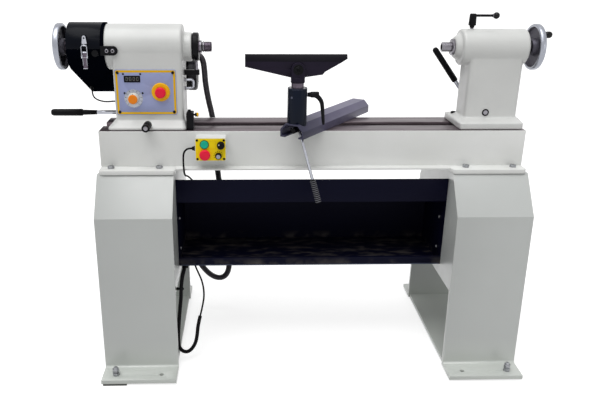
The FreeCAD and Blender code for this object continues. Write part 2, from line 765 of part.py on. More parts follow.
def drive_belt():
    x0, x1 = BELT_X - BELT_W / 2, BELT_X + BELT_W / 2
    outer = Part.Face(belt_outline(PULLEY_R + BELT_GAP + BELT_T, MOTOR_PULLEY_R + BELT_GAP + BELT_T, x0))
    inner = Part.Face(belt_outline(PULLEY_R + BELT_GAP, MOTOR_PULLEY_R + BELT_GAP, x0))
    return outer.cut(inner).extrude(V(x1 - x0, 0, 0))


def motor():
    """Motor body with end bells, mounting flange and terminal box, hung on the back plate."""
    x0 = GUARD_RIGHT
    x1 = x0 + MOTOR_LEN
    body = turned_x([(x0, 0), (x0, MOTOR_R), (x0 + 12, MOTOR_R), (x0 + 12, MOTOR_R - 6),
                     (x1 - 30, MOTOR_R - 6),
                     (x1 - 30, MOTOR_R - 2), (x1 - 6, MOTOR_R - 2), (x1, MOTOR_R - 10), (x1, 0)],
                     MOTOR_Y, MOTOR_Z)
    x, y, z = CONDUIT[0]
    terminal = box(x - 116, x - 16, MOTOR_Y - 75, MOTOR_Y + 20, MOTOR_Z + 30, MOTOR_Z + 100)
    terminal = rounded(terminal, 6, lambda m, w: along(w, X_AXIS))
    gland = rod(15, (x - 17, y, z), (x, y, z))
    shaft_room = rod(MOTOR_SHAFT_R + SHAFT_CLEAR, (x0 - 1, MOTOR_Y, MOTOR_Z),
                     (x0 + STUB_L + 1, MOTOR_Y, MOTOR_Z))
    return cut(fuse(body, terminal, gland), shaft_room)


def motor_pulley():
    """Motor pulley on its shaft stub."""
    x0, x1 = BELT_X - PULLEY_W / 2 - 3, GUARD_RIGHT + STUB_L
    stub = rod(MOTOR_SHAFT_R, (x0, MOTOR_Y, MOTOR_Z), (x1, MOTOR_Y, MOTOR_Z))
    return fuse(pulley(BELT_X, MOTOR_Y, MOTOR_Z, MOTOR_PULLEY_R, MOTOR_SHAFT_R), stub)


# --- Latch, strap and hinge of the belt guard -----------------------------------------------


def outside_guard(solid):
    """The part of a fitting that stands outside the guard's outline."""
    return cut(solid, guard_block(0, GUARD_L, GUARD_RIGHT))


def latch_base():
    """Bracket of the draw latch on the fixed guard, with its pivot pin."""
    z0, z1 = LATCH_PIVOT_Z - 6, LATCH_PIVOT_Z + 6
    plate = box(LATCH_X - 9, LATCH_X + 9, LATCH_Y - 2.2, LATCH_Y + 1.5, z0 - 6, z1)
    ears = []
    for side in (-1, 1):
        x = LATCH_X + side * 9
        ears.append(box(x - 1.5, x + 1.5, LATCH_PIVOT_Y - 4, LATCH_Y + 1.5, z0, z1))
    pin = rod(LATCH_PIN_R, (LATCH_X - 9, LATCH_PIVOT_Y, LATCH_PIVOT_Z),
              (LATCH_X + 9, LATCH_PIVOT_Y, LATCH_PIVOT_Z))
    return outside_guard(fuse(plate, *ears, pin))


def latch_lever():
    """Over-centre lever of the draw latch, hanging down the front."""
    y, z = LATCH_PIVOT_Y, LATCH_PIVOT_Z
    x0, x1 = LATCH_X - LATCH_HALF_W, LATCH_X + LATCH_HALF_W
    eye = rod(3.6, (x0, y, z), (x1, y, z))
    blade = box(x0, x1, y - 3.6, y - 1.6, z - 46, z)
    tip = box(x0, x1, y - 7.6, y - 1.6, z - 48, z - 46)
    lugs = box(x0, x1, y - 7.6, y - 3.4, BAIL_PIN_Z - 3, BAIL_PIN_Z + 3)
    bail_pin = rod(BAIL_PIN_R, (LATCH_X - 10, BAIL_PIN_Y, BAIL_PIN_Z), (LATCH_X + 10, BAIL_PIN_Y, BAIL_PIN_Z))
    body = fuse(eye, blade, tip, lugs, bail_pin)
    return cut(body, rod(LATCH_PIN_R + SHAFT_CLEAR, (x0 - 1, y, z), (x1 + 1, y, z)))


def latch_bail():
    """Wire ring from the lever up to the hook on the cover."""
    y, z0, z1 = BAIL_PIN_Y, BAIL_PIN_Z, BAIL_TOP_Z
    pieces = [rod(BAIL_BAR_R, (LATCH_X - BAIL_HALF_W - 2, y, z1), (LATCH_X + BAIL_HALF_W + 2, y, z1))]
    holes = []
    for side in (-1, 1):
        x = LATCH_X + side * BAIL_HALF_W
        pieces.append(rod(2.6, (x - 1.2, y, z0), (x + 1.2, y, z0)))
        pieces.append(rod(1.1, (x, y, z0), (x, y, z1)))
        holes.append(rod(BAIL_PIN_R + SHAFT_CLEAR, (x - 2, y, z0), (x + 2, y, z0)))
    return cut(fuse(*pieces), *holes)


def latch_hook():
    """Hook plate on the cover, with the shelf that the wire ring pulls on."""
    shelf_y = BAIL_PIN_Y + BAIL_BAR_R + SLIDE_GAP
    back = box(LATCH_X - 6, LATCH_X + 6, LATCH_Y - 4, LATCH_Y + 6, BAIL_TOP_Z - 6, BAIL_TOP_Z + 28)
    shelf = box(LATCH_X - 6, LATCH_X + 6, shelf_y, LATCH_Y - 2, BAIL_TOP_Z - 1, BAIL_TOP_Z + 2)
    return outside_guard(fuse(back, shelf))


def guard_strap():
    """Strap that ties the guard to the barrel, rounded at its end."""
    z = AXIS_Z - STRAP_DROP
    y0, y1 = LATCH_Y - 4, LATCH_Y + 6
    strap = box(GUARD_RIGHT - BACKPLATE_T, STRAP_END_X, y0, y1, z - STRAP_HALF, z + STRAP_HALF)
    strap = fuse(strap, rod(STRAP_HALF, (STRAP_END_X, y0, z), (STRAP_END_X, y1, z)))
    barrel = rod(BARREL_R, (HEAD_L, 0, AXIS_Z), (HEAD_R, 0, AXIS_Z))
    neck = box(NECK_L, NECK_R, -NECK_Y, NECK_Y, BED_TOP, AXIS_Z)
    return outside_guard(cut(strap, barrel, neck))


def guard_knob():
    """Round screw head on the fixed guard beside the strap."""
    x, z = HEAD_L - KNOB_DX, AXIS_Z - 11
    head = rod(10, (x, LATCH_Y - 12, z), (x, LATCH_Y - 1, z))
    foot = rod(5, (x, LATCH_Y - 1, z), (x, LATCH_Y + 4, z))
    return outside_guard(fuse(head, foot))


def guard_tilt():
    """Direction square to the guard's rear skin, in the YZ plane."""
    span = math.hypot(MOTOR_Y, MOTOR_DROP)
    angle = math.atan2(-MOTOR_DROP, MOTOR_Y) + math.acos((GUARD_R_TOP - GUARD_R_MOTOR) / span)
    return math.cos(angle), math.sin(angle)


def hinge_leaf(x0, x1, side):
    """One knuckle with its leaf, lying up (side -1) or down (side 1) the rear skin from the split."""
    ny, nz = guard_tilt()
    foot_y = GUARD_R_TOP / ny

    def at(s, t):
        return (foot_y + side * s * nz + t * ny, AXIS_Z - side * s * ny + t * nz)

    outline = [at(0.6, 0), at(LEAF_L, 0), at(LEAF_L, LEAF_T), at(KNUCKLE_R - 0.2, HINGE_OUT),
               at(0.6, HINGE_OUT)]
    hy, hz = at(0, HINGE_OUT)
    return fuse(profile_x(outline, x0, x1), rod(KNUCKLE_R, (x0, hy, hz), (x1, hy, hz))), hy, hz


def fixed_hinge():
    """The guard's two knuckles and the hinge pin."""
    half = KNUCKLE_W / 2 + KNUCKLE_GAP
    left, hy, hz = hinge_leaf(HINGE_X - half - KNUCKLE_W, HINGE_X - half, 1)
    right = hinge_leaf(HINGE_X + half, HINGE_X + half + KNUCKLE_W, 1)[0]
    ends = half + KNUCKLE_W + 1.5
    print("cover hinge line y", round(hy, 3), "z", round(hz, 3))
    return fuse(left, right, rod(HINGE_PIN_R, (HINGE_X - ends, hy, hz), (HINGE_X + ends, hy, hz)))


def cover_hinge():
    """The cover's knuckle, bored for the hinge pin."""
    x0, x1 = HINGE_X - KNUCKLE_W / 2, HINGE_X + KNUCKLE_W / 2
    leaf, hy, hz = hinge_leaf(x0, x1, -1)
    return cut(leaf, rod(HINGE_PIN_R + 0.05, (x0 - 1, hy, hz), (x1 + 1, hy, hz)))


def housing_fittings():
    """Strap with its two screws, round screw, latch bracket and fixed half of the hinge."""
    z = AXIS_Z - STRAP_DROP
    screws = [rod(5, (HEAD_L + dx, LATCH_Y - 8, z), (HEAD_L + dx, LATCH_Y - 4, z)) for dx in (12, 30)]
    return [guard_strap(), *screws, guard_knob(), latch_base(), fixed_hinge()]


# --- Headstock controls ---------------------------------------------------------------------
FACE_Y = -NECK_Y - PANEL_T


def control_panel():
    """Flat plate on the neck that carries the controls."""
    x0, z0 = PANEL_X - PANEL_W / 2, PANEL_Z - PANEL_H / 2
    plate = box(x0, x0 + PANEL_W, FACE_Y, -NECK_Y, z0, z0 + PANEL_H)
    plate = rounded(plate, 4, lambda m, w: along(w, Y_AXIS))
    return cut(plate, *control_holes())


def control_holes():
    """Holes for the emergency-stop stem and the knob spindle, through the plate and the wall."""
    stop = rod(ESTOP_STEM_R + STEM_GAP, (ESTOP[0], FACE_Y - 1, ESTOP[1]), (ESTOP[0], FACE_Y + 16, ESTOP[1]))
    dial = rod(KNOB_STEM_R + STEM_GAP, (DIAL[0], FACE_Y - 1, DIAL[1]), (DIAL[0], FACE_Y + 16, DIAL[1]))
    return [stop, dial]




def panel_fittings():
    """Corner screws, display window, dial disc and the emergency-stop collar."""
    pieces = []
    for sx in (-1, 1):
        for sz in (-1, 1):
            x, z = PANEL_X + sx * (PANEL_W / 2 - 9), PANEL_Z + sz * (PANEL_H / 2 - 9)
            pieces.append(rod(4.5, (x, FACE_Y - 2.5, z), (x, FACE_Y, z)))
    x, z, w, h = DISPLAY
    pieces.append(box(x - w / 2, x + w / 2, FACE_Y - 1.5, FACE_Y, z - h / 2, z + h / 2))
    disc = rod(DIAL_R, (DIAL[0], FACE_Y - 1, DIAL[1]), (DIAL[0], FACE_Y, DIAL[1]))
    pieces.append(cut(disc, *control_holes()))
    collar = cone(ESTOP_COLLAR_R, ESTOP_COLLAR_R - 2, (ESTOP[0], FACE_Y, ESTOP[1]),
                  (ESTOP[0], FACE_Y - ESTOP_COLLAR_T, ESTOP[1]))
    pieces.append(cut(collar, rod(ESTOP_STEM_R + STEM_GAP, (ESTOP[0], FACE_Y - 9, ESTOP[1]),
                                  (ESTOP[0], FACE_Y + 1, ESTOP[1]))))
    return pieces


def turned_y(points, x, z):
    """A turned piece about a line along Y, from (y, radius) points."""
    corners = [V(x, y, z + r) for y, r in points]
    wire = Part.makePolygon(corners + [corners[0]])
    return Part.Face(wire).revolve(V(x, 0, z), Y_AXIS, 360)


def mushroom(x, z, face, head_r, stem_r, lift, head_t, depth):
    """A push button with a domed head over a plain stem."""
    y0 = face - lift
    return turned_y([(face + depth, 0), (face + depth, stem_r), (y0, stem_r), (y0, head_r),
                     (y0 - head_t / 2, head_r),
                     (y0 - head_t, head_r - 5), (y0 - head_t, 0)], x, z)


def round_knob(x, z, face, r, length, stem_r, depth, gap):
    """A turning knob on a stem."""
    y0 = face - gap
    return turned_y([(face + depth, 0), (face + depth, stem_r), (y0, stem_r), (y0, r),
                     (y0 - length + 2, r - 1.5),
                     (y0 - length, r - 3.5), (y0 - length, 0)], x, z)


def index_knob():
    """Spring pull knob on the headstock foot."""
    y0 = -HEAD_BASE_Y - 0.3
    return turned_y([(-HEAD_BASE_Y + 36, 0), (-HEAD_BASE_Y + 36, 5), (y0, 5), (y0, INDEX_R - 1),
                     (y0 - 1, INDEX_R),
                     (y0 - INDEX_L + 2, INDEX_R), (y0 - INDEX_L, INDEX_R - 2), (y0 - INDEX_L, 0)],
                     INDEX_X, INDEX_Z)


def clamp_lever(x, z, front, angle, length, grip_l, grip_r):
    """Cross shaft with its rear hand lever: hub, rod, tapered neck and grip."""
    dx, dz = math.cos(math.radians(angle)), math.sin(math.radians(angle))

    def at(r):
        return (x + r * dx, LEVER_Y, z + r * dz)

    shaft = rod(ECC_R, (x, front, z), (x, LEVER_Y + 8, z))
    hub = rod(LEVER_HUB_R, (x, LEVER_Y - 10, z), (x, LEVER_Y + 10, z))
    arm = rod(LEVER_ROD_R, at(0), at(length - grip_l - 40))
    neck = cone(LEVER_ROD_R + 0.5, LEVER_ROD_R + 2, at(length - grip_l - 50), at(length - grip_l))
    grip = rod(grip_r, at(length - grip_l), at(length - 2))
    end = cone(grip_r, grip_r - 4, at(length - 2), at(length + 3))
    return fuse(shaft, hub, arm, neck, grip, end)


CLAMP_TOP = FLANGE_BOTTOM - SLIDE_GAP


def clamp_plate(x, hole_r):
    plate = box(x - CLAMP_HALF_X, x + CLAMP_HALF_X, -CLAMP_HALF_Y, CLAMP_HALF_Y, CLAMP_TOP - CLAMP_T,
                CLAMP_TOP)
    return cut(plate, rod(hole_r, (x, 0, CLAMP_TOP - CLAMP_T - 1), (x, 0, CLAMP_TOP + 1)))


def eye_bolt(x, z, eye_axis, shaft_r):
    """Clamp bolt with an eye round its cross shaft and a nut under the clamp plate."""
    low = CLAMP_TOP - CLAMP_T
    shank = rod(STUD_R, (x, 0, low - 20), (x, 0, z))
    nut = hexagon(CLAMP_NUT_AF, (x, 0, low - CLAMP_NUT_H - 0.2), CLAMP_NUT_H)
    way = eye_axis * EYE_HALF
    centre = V(x, 0, z)
    a, b = centre - way, centre + way
    eye = rod(EYE_R, tuple(a), tuple(b))
    hole = rod(shaft_r + SHAFT_CLEAR, tuple(centre - way * 1.5), tuple(centre + way * 1.5))
    return cut(fuse(shank, nut, eye), hole)


def fixed_clamp(x, z):
    """Clamp plate and eye bolt of the headstock or tailstock."""
    return [clamp_plate(x, STUD_R), eye_bolt(x, z, Y_AXIS, ECC_R)]


def stop_block():
    """Block on the way against the headstock foot, with its thumb screw."""
    x0 = HEAD_BASE_R
    block = box(x0, x0 + 22, -84, -46, BED_TOP, BED_TOP + 55)
    block = rounded(block, 3, lambda m, w: along(w, Y_AXIS) and m.z > BED_TOP + 50)
    cap = rod(5, (x0 + 9, -65, BED_TOP + 55), (x0 + 9, -65, BED_TOP + 62))
    neck = rod(3, (x0 + 22, -66, BED_TOP + 46), (x0 + 27, -66, BED_TOP + 46))
    head = rod(6.5, (x0 + 27, -66, BED_TOP + 46), (x0 + 36, -66, BED_TOP + 46))
    return fuse(block, cap, neck, head)




def headstock_hardware():
    """Chrome bail on the neck and the locking pin on its bracket under the ring."""
    wall = NECK_R - 1
    low, high = BAIL_Z
    arms = [rod(BAIL_R, (wall, 0, z), (BAIL_X, 0, z)) for z in BAIL_Z]
    balls = [Part.makeSphere(BAIL_R, V(BAIL_X, 0, z)) for z in BAIL_Z]
    bail = fuse(arms[0], arms[1], rod(BAIL_R, (BAIL_X, 0, low), (BAIL_X, 0, high)), *balls)
    pin_x = RING_L + RING_W / 2
    top = AXIS_Z - RING_R - PIN_BRACKET_TOP
    half = PIN_R + 4
    bracket = box(wall, pin_x + half, -half, half, top - PIN_BRACKET_H, top)
    pin = rod(PIN_R, (pin_x, 0, top), (pin_x, 0, AXIS_Z - RING_R - 0.5))
    return [bail, fuse(bracket, pin)]


# --- Switch box -----------------------------------------------------------------------------
BOX_FACE_Y = -HALF - BOX_D


def switch_box():
    """White case with its face plate and corner screws; a solid block drilled for the controls."""
    x0, z0 = BOX_X - BOX_W / 2, BOX_Z - BOX_H / 2
    case = box(x0, x0 + BOX_W, BOX_FACE_Y + FACE_T, -HALF, z0, z0 + BOX_H)
    case = rounded(case, 5, lambda m, w: along(w, Y_AXIS))
    face = box(x0 + 2, x0 + BOX_W - 2, BOX_FACE_Y, BOX_FACE_Y + FACE_T, z0 + 2, z0 + BOX_H - 2)
    face = rounded(face, 4, lambda m, w: along(w, Y_AXIS))
    holes = []
    for (x, z), r in ((START, START_R), (STOP, STOP_STEM_R), (MODE, KNOB_STEM_R), (TRIM, KNOB_STEM_R)):
        holes.append(rod(r + STEM_GAP, (x, BOX_FACE_Y - 1, z), (x, BOX_FACE_Y + BUTTON_DEPTH + 4, z)))
    screws = []
    for sx in (-1, 1):
        for sz in (-1, 1):
            x, z = BOX_X + sx * (BOX_W / 2 - CASE_SCREW_IN), BOX_Z + sz * (BOX_H / 2 - CASE_SCREW_IN)
            screws.append(rod(2.6, (x, BOX_FACE_Y - 1, z), (x, BOX_FACE_Y, z)))
    return [cut(case, *holes), cut(face, *holes)] + screws


def start_button():
    y = BOX_FACE_Y
    return rod(START_R, (START[0], y - 6, START[1]), (START[0], y + BUTTON_DEPTH, START[1]))




def sleeve_clip():
    """P-clip that holds the sleeve to the leg's side plate."""
    a, b = V(*SLEEVE[CLIP_RUN]), V(*SLEEVE[CLIP_RUN + 1])
    way = (b - a).normalize()
    middle = (a + b) / 2
    ends = [tuple(middle + way * CLIP_HALF * side) for side in (-1, 1)]
    bore = rod(SLEEVE_R + CLIP_ROOM, tuple(middle - way * 40), tuple(middle + way * 40))
    tab = box(-LEG_INNER_X, middle.x - SLEEVE_R - 1, middle.y - 4, middle.y + 4, middle.z - 3, middle.z + 4)
    return cut(fuse(rod(SLEEVE_R + 3, *ends), tab), bore)


def cable_fittings():
    """Glands where the cords start and end, the clip on the leg and the anchor under the tray."""
    x, y, z = CABLE[0]
    gland = cone(9, 5, (BOX_X - BOX_W / 2, y, z), (x, y, z))
    x, y, z = SLEEVE[-1]
    anchor = box(x - ANCHOR_HALF, x + ANCHOR_HALF, y, y + ANCHOR_HALF, z - ANCHOR_HALF, TRAY_BOTTOM)
    x, y, z = CONDUIT[-1]
    conduit_box = box(-LEG_INNER_X, x + CONDUIT_BOX, y - CONDUIT_BOX, y + CONDUIT_BOX, z, z + 2 * CONDUIT_BOX)
    x, y, z = INTERLOCK[-1]
    neck_gland = rod(6, (x, y, z), (NECK_L, y, z))
    x, y, z = INTERLOCK[0]
    guard_gland = outside_guard(rod(6, (x, y, z), (x, y, z + 20)))
    return [gland, sleeve_clip(), anchor, conduit_box, neck_gland, guard_gland]


# --- Cords: hand-placed routes --------------------------------------------------------------

CABLE = [(-386.0, -124.0, 737.0), (-397.0, -124.0, 737.0), (-407.0, -124.5, 731.0), (-413.0, -126.0, 720.0),
         (-414.0, -130.0, 702.0), (-413.0, -136.0, 682.0), (-412.0, -136.0, 662.0), (-410.0, -124.0, 647.0),
         (-408.0, -98.0, 639.0), (-405.0, -44.0, 616.0), (-403.0, 18.0, 588.0), (-402.0, 78.0, 560.0),
         (-401.0, 126.0, 535.0), (-400.0, 150.0, 500.0), (-400.0, 152.0, 450.0), (-401.0, 150.0, 400.0),
         (-402.0, 152.0, 350.0), (-402.0, 143.0, 318.0), (-402.0, 118.0, 303.0), (-402.0, 70.0, 298.0),
         (-402.0, 10.0, 301.0), (-400.0, -50.0, 308.0), (-386.0, -100.0, 303.0), (-366.0, -130.0, 274.0),
         (-359.0, -148.0, 233.0), (-366.0, -163.0, 194.0), (-374.0, -170.0, 163.0)]
SLEEVE = [(-374.0, -170.0, 163.0), (-382.0, -177.0, 132.0), (-385.0, -181.0, 98.0), (-391.0, -184.0, 69.0),
          (-402.0, -186.0, 48.0), (-417.0, -188.0, 35.0), (-432.0, -189.0, 36.0), (-443.0, -190.0, 47.0),
          (-448.0, -191.0, 63.0), (-448.5, -193.0, 88.0), (-446.0, -197.0, 126.0), (-441.0, -202.0, 176.0),
          (-435.0, -207.0, 226.0), (-431.0, -211.0, 256.0), (-430.0, -212.0, 276.0), (-429.5, -200.5, 296.0),
          (-429.0, -181.0, 306.0), (-428.6, -150.0, 311.0), (-428.0, -112.0, 309.0), (-428.0, -80.0, 309.0)]
CONDUIT = [(-407.0, 200.0, 990.0), (-390.0, 200.0, 990.0), (-373.5, 200.0, 981.0), (-364.0, 200.0, 963.0),
           (-361.0, 199.5, 932.0), (-359.0, 198.0, 888.0), (-350.0, 193.0, 830.0), (-336.0, 188.0, 770.0),
           (-328.0, 184.0, 700.0), (-326.0, 180.0, 620.0), (-318.0, 182.0, 530.0), (-304.0, 184.0, 440.0),
           (-292.0, 184.0, 350.0), (-286.0, 184.0, 270.0), (-284.0, 185.0, 215.0), (-285.0, 187.0, 175.0),
           (-292.0, 188.0, 146.0), (-308.0, 190.0, 127.0), (-330.0, 191.0, 124.0), (-354.0, 192.0, 134.0),
           (-378.0, 193.0, 157.0), (-402.0, 194.0, 192.0), (-419.0, 194.0, 236.0), (-426.0, 192.0, 272.0),
           (-426.0, 192.0, 306.0)]
INTERLOCK = [(-748.0, 150.0, 876.0), (-748.0, 150.0, 864.0), (-745.0, 146.0, 853.0), (-738.0, 137.0, 846.5),
             (-722.0, 117.0, 843.0), (-697.0, 87.0, 844.0), (-676.0, 61.0, 848.5), (-661.0, 45.0, 853.0),
             (-650.5, 38.5, 855.0), (-640.0, 38.5, 855.0)]


# --- Banjo ----------------------------------------------------------------------------------
def banjo_place(solid):
    """From the channel's own frame (x along it, origin at the clamp bolt) to its place on the bed."""
    turn = FreeCAD.Placement(V(BANJO_X, 0, 0), FreeCAD.Rotation(Z_AXIS, BANJO_ANGLE))
    solid.Placement = turn.multiply(solid.Placement)
    return solid


def banjo_point(s, y, z):
    a = math.radians(BANJO_ANGLE)
    return V(BANJO_X + s * math.cos(a) - y * math.sin(a), s * math.sin(a) + y * math.cos(a), z)


BANJO_Z = BED_TOP + SLIDE_GAP
BANJO_TOP = BANJO_Z + BANJO_H
BANJO_X0 = -BANJO_FRONT
BANJO_X1 = BANJO_LEN - BANJO_FRONT


def channel_outline(inset):
    """Half-octagon outline of the channel, inset by a distance, as (y, z) points from left to right."""
    h = BANJO_W / 2
    flat = h - BANJO_CHAMFER
    corner = inset * 0.42
    return [(-h + inset, BANJO_Z + BANJO_SIDE - corner), (-flat + corner, BANJO_TOP - inset),
            (flat - corner, BANJO_TOP - inset), (h - inset, BANJO_Z + BANJO_SIDE - corner)]


def banjo_channel():
    """Folded channel, open below between two in-turned lips."""
    h = BANJO_W / 2
    outer = [(-h, BANJO_Z)] + channel_outline(0) + [(h, BANJO_Z)]
    inset, floor = h - BANJO_T, BANJO_Z + BANJO_T
    inner = [(-inset, floor)] + channel_outline(BANJO_T) + [(inset, floor)]
    slot = h - BANJO_T - BANJO_LIP
    shell = profile_x(outer, BANJO_X0, BANJO_X1)
    hollow = profile_x(inner, BANJO_X0 - 1, BANJO_X1 + 1)
    opening = box(BANJO_X0 - 1, BANJO_X1 + 1, -slot, slot, BANJO_Z - 1, BANJO_Z + BANJO_T + 1)
    return banjo_place(cut(shell, hollow, opening))


POST = banjo_point(BANJO_X0 + POST_BACK, 0, 0)
POST_TOP = BANJO_TOP + POST_H
POST_LEVER_Z = POST_TOP - 21.0


def banjo_post():
    """Post for the tool rest stem, with a counterbore for the clamping bush."""
    h = BANJO_W / 2
    body = rod(POST_R, (POST.x, POST.y, BANJO_TOP - 14), (POST.x, POST.y, POST_TOP))
    low = BANJO_Z - 30
    section = [(-h, low)] + channel_outline(0) + [(h, low)]
    under = banjo_place(profile_x(section, BANJO_X0 - 20, BANJO_X1))
    bore = rod(STEM_R + 0.3, (POST.x, POST.y, BANJO_TOP + 8), (POST.x, POST.y, POST_TOP + 1))
    counter = rod(BUSH_R + RUN_CLEAR, (POST.x, POST.y, POST_TOP - BUSH_H - 0.2),
                  (POST.x, POST.y, POST_TOP + 1))
    screw = rod(5 + SHAFT_CLEAR, (POST.x, POST.y, POST_LEVER_Z), (POST.x + POST_R + 1, POST.y, POST_LEVER_Z))
    return cut(body, under, bore, counter, screw)


def rest_bush():
    bush = rod(BUSH_R, (POST.x, POST.y, POST_TOP - BUSH_H), (POST.x, POST.y, POST_TOP))
    return cut(bush, rod(STEM_R + RUN_CLEAR, (POST.x, POST.y, POST_TOP - 99), (POST.x, POST.y, POST_TOP + 1)))


def post_lever():
    """Ratchet lever that clamps the tool rest stem: hub, curved arm and end."""
    x0 = POST.x + POST_R
    y, z = POST.y, POST_LEVER_Z
    screw = rod(5, (POST.x + BUSH_R + 0.5, y, z), (x0 + 4, y, z))
    collar = cone(6, 8, (x0 + 0.5, y, z), (x0 + 12, y, z))
    hub = rod(9, (x0 + 12, y, z), (x0 + 36, y, z))
    bend = cone(7, 6, (x0 + 28, y, z), (x0 + 42, y, z - 24))
    arm = cone(6, 4.5, (x0 + 42, y, z - 24), (x0 + 52, y, z - 92))
    knuckle = Part.makeSphere(6.0, V(x0 + 42, y, z - 24))
    return fuse(screw, collar, hub, bend, knuckle, arm)


STEM_LOW = BANJO_TOP + 34.0
CLEVIS_Z = POST_TOP + NECK_SHOWN
BLADE_BOLT_Z = BLADE_TOP - REST_BOLT_DROP


def rest_stem():
    """Round stem with a flat cheek and the bolt that holds the blade."""
    stem = rod(STEM_R, (POST.x, POST.y, STEM_LOW), (POST.x, POST.y, CLEVIS_Z))
    shoulder = rod(STEM_R + 2, (POST.x, POST.y, CLEVIS_Z), (POST.x, POST.y, CLEVIS_Z + SHOULDER_H))
    y1 = POST.y + CHEEK_BACK
    y0 = y1 - CHEEK_T
    half = STEM_R + 1
    cheek = box(POST.x - half, POST.x + half, y0, y1, CLEVIS_Z, BLADE_BOLT_Z)
    eye = rod(half, (POST.x, y0, BLADE_BOLT_Z), (POST.x, y1, BLADE_BOLT_Z))
    hole = rod(REST_BOLT_R, (POST.x, y0 - 1, BLADE_BOLT_Z), (POST.x, y1 + 1, BLADE_BOLT_Z))
    return cut(fuse(stem, shoulder, cheek, eye), hole)


def rest_bolt():
    y1 = POST.y + CHEEK_BACK
    y0 = y1 - CHEEK_T
    back = y1 + BLADE_T
    shank = rod(REST_BOLT_R, (POST.x, y0, BLADE_BOLT_Z), (POST.x, back + 8, BLADE_BOLT_Z))
    head = rod(8, (POST.x, y0 - 6, BLADE_BOLT_Z), (POST.x, y0, BLADE_BOLT_Z))
    nut = hexagon(17, (POST.x, back, BLADE_BOLT_Z), 7, Y_AXIS)
    return fuse(shank, head, nut)


def rest_blade():
    """Blade of the tool rest: a web with a leaning top edge, cut to its long outline."""
    left, right = POST.x - BLADE_L * 0.517, POST.x + BLADE_L * 0.483
    low = CLEVIS_Z + SHOULDER_H
    front = POST.y + CHEEK_BACK
    section = [(front, low), (front + BLADE_T, low), (front + BLADE_T, BLADE_TOP - 27),
               (front + 22, BLADE_TOP),
               (front + 12, BLADE_TOP), (front, BLADE_TOP - 22)]
    bar = profile_x(section, left, right)
    outline = [(left, BLADE_TOP), (left, BLADE_TOP - 35), (POST.x - 23, low), (POST.x + 19, low),
               (POST.x + 74, low + 8), (POST.x + 80, low + 16), (right, BLADE_TOP - 12), (right, BLADE_TOP)]
    face = prism([(x, front - 5, z) for x, z in outline], V(0, 60, 0))
    blade = bar.common(face)
    hole = rod(REST_BOLT_R, (POST.x, front - 1, BLADE_BOLT_Z), (POST.x, front + 30, BLADE_BOLT_Z))
    return cut(blade, hole)


CAM_AXIS_Z = BANJO_Z + CAM_Z


def banjo_bolt():
    """Clamp bolt of the banjo, whose eye slides along the eccentric rod."""
    bolt = eye_bolt(0, CAM_AXIS_Z, X_AXIS, CAM_R)
    return banjo_place(bolt)


def banjo_lever():
    """Eccentric rod inside the channel with its hanging hand lever."""
    s = BANJO_X0 + LEVER_AT
    tilt = math.radians(LEVER_TILT)

    def at(r):
        return (s, -r * math.sin(tilt), CAM_AXIS_Z - r * math.cos(tilt))

    shaft = rod(CAM_R, (BANJO_X0 + 8, 0, CAM_AXIS_Z), (BANJO_X1 - 10, 0, CAM_AXIS_Z))
    arm = rod(4.5, at(0), at(LEVER_LEN - 60))
    grip = rod(9.5, at(LEVER_LEN - 75), at(LEVER_LEN))
    return banjo_place(fuse(shaft, arm, grip))


# --- Tailstock ------------------------------------------------------------------------------


def tailstock_casting():
    """Barrel with its nose cone, column and foot, cast in one piece, bored for quill and screw."""
    left, right, r = TAIL_L, TAIL_R, TAIL_BARREL_R
    barrel = turned_x([(left - NOSE_CONE_L, 0), (left - NOSE_CONE_L, 31), (left, 44), (left, r - 5),
                       (left + 5, r),
                       (right - 5, r), (right, r - 5), (right, 0)], 0, AXIS_Z)
    column = box(TAIL_COL_L, TAIL_COL_R, -TAIL_COL_Y, TAIL_COL_Y, BED_TOP + TAIL_BASE_H - 1, AXIS_Z)
    column = rounded(column, 10, lambda m, w: along(w, Z_AXIS))
    foot = flared_base(TAIL_BASE_L, TAIL_BASE_R, TAIL_BASE_Y, TAIL_COL_L - 4, TAIL_COL_R + 4, TAIL_COL_Y + 4,
                       TAIL_BASE_H, TAIL_FLARE)
    foot.translate(V(0, 0, SLIDE_GAP))
    body = fuse(barrel, column, foot)
    wall = TAIL_R - TAIL_END_WALL
    bore = rod(QUILL_R + RUN_CLEAR, (left - NOSE_CONE_L - 1, 0, AXIS_Z), (wall, 0, AXIS_Z))
    screw = rod(SCREW_R + SHAFT_CLEAR, (wall - 1, 0, AXIS_Z), (right + 1, 0, AXIS_Z))
    inside = box(TAIL_COL_L + CAST_T + 2, TAIL_COL_R - CAST_T - 2, -TAIL_COL_Y + CAST_T, TAIL_COL_Y - CAST_T,
                 BED_TOP - 1, AXIS_Z - r - 8)
    cam = rod(ECC_R + SHAFT_CLEAR, (TAIL_LEVER_X, -TAIL_COL_Y - 5, TAIL_LEVER_Z),
              (TAIL_LEVER_X, TAIL_COL_Y + 5, TAIL_LEVER_Z))
    lock = rod(LOCK_R + SHAFT_CLEAR, (LOCK_X, 0, AXIS_Z), (LOCK_X, 0, AXIS_Z + r + 5))
    x, y = SET_BOLT
    seat_z = BED_TOP + TAIL_BASE_H - TAIL_FLARE + SLIDE_GAP
    seat = rod(SET_BOLT_AF / 2 + 3, (x, y, seat_z), (x, y, seat_z + 20))
    return cut(body, bore, screw, inside, cam, lock, seat)




def tailstock_fittings():
    """Steel ring in front of the nose and the black set bolt on the foot."""
    x1 = TAIL_L - NOSE_CONE_L
    ring = cut(rod(26, (x1 - RING_FRONT, 0, AXIS_Z), (x1, 0, AXIS_Z)),
               rod(QUILL_R + 0.3, (x1 - 20, 0, AXIS_Z), (x1 + 1, 0, AXIS_Z)))
    top = BED_TOP + TAIL_BASE_H - TAIL_FLARE + SLIDE_GAP
    bolt = hexagon(SET_BOLT_AF, (*SET_BOLT, top), 12)
    return [ring, bolt]


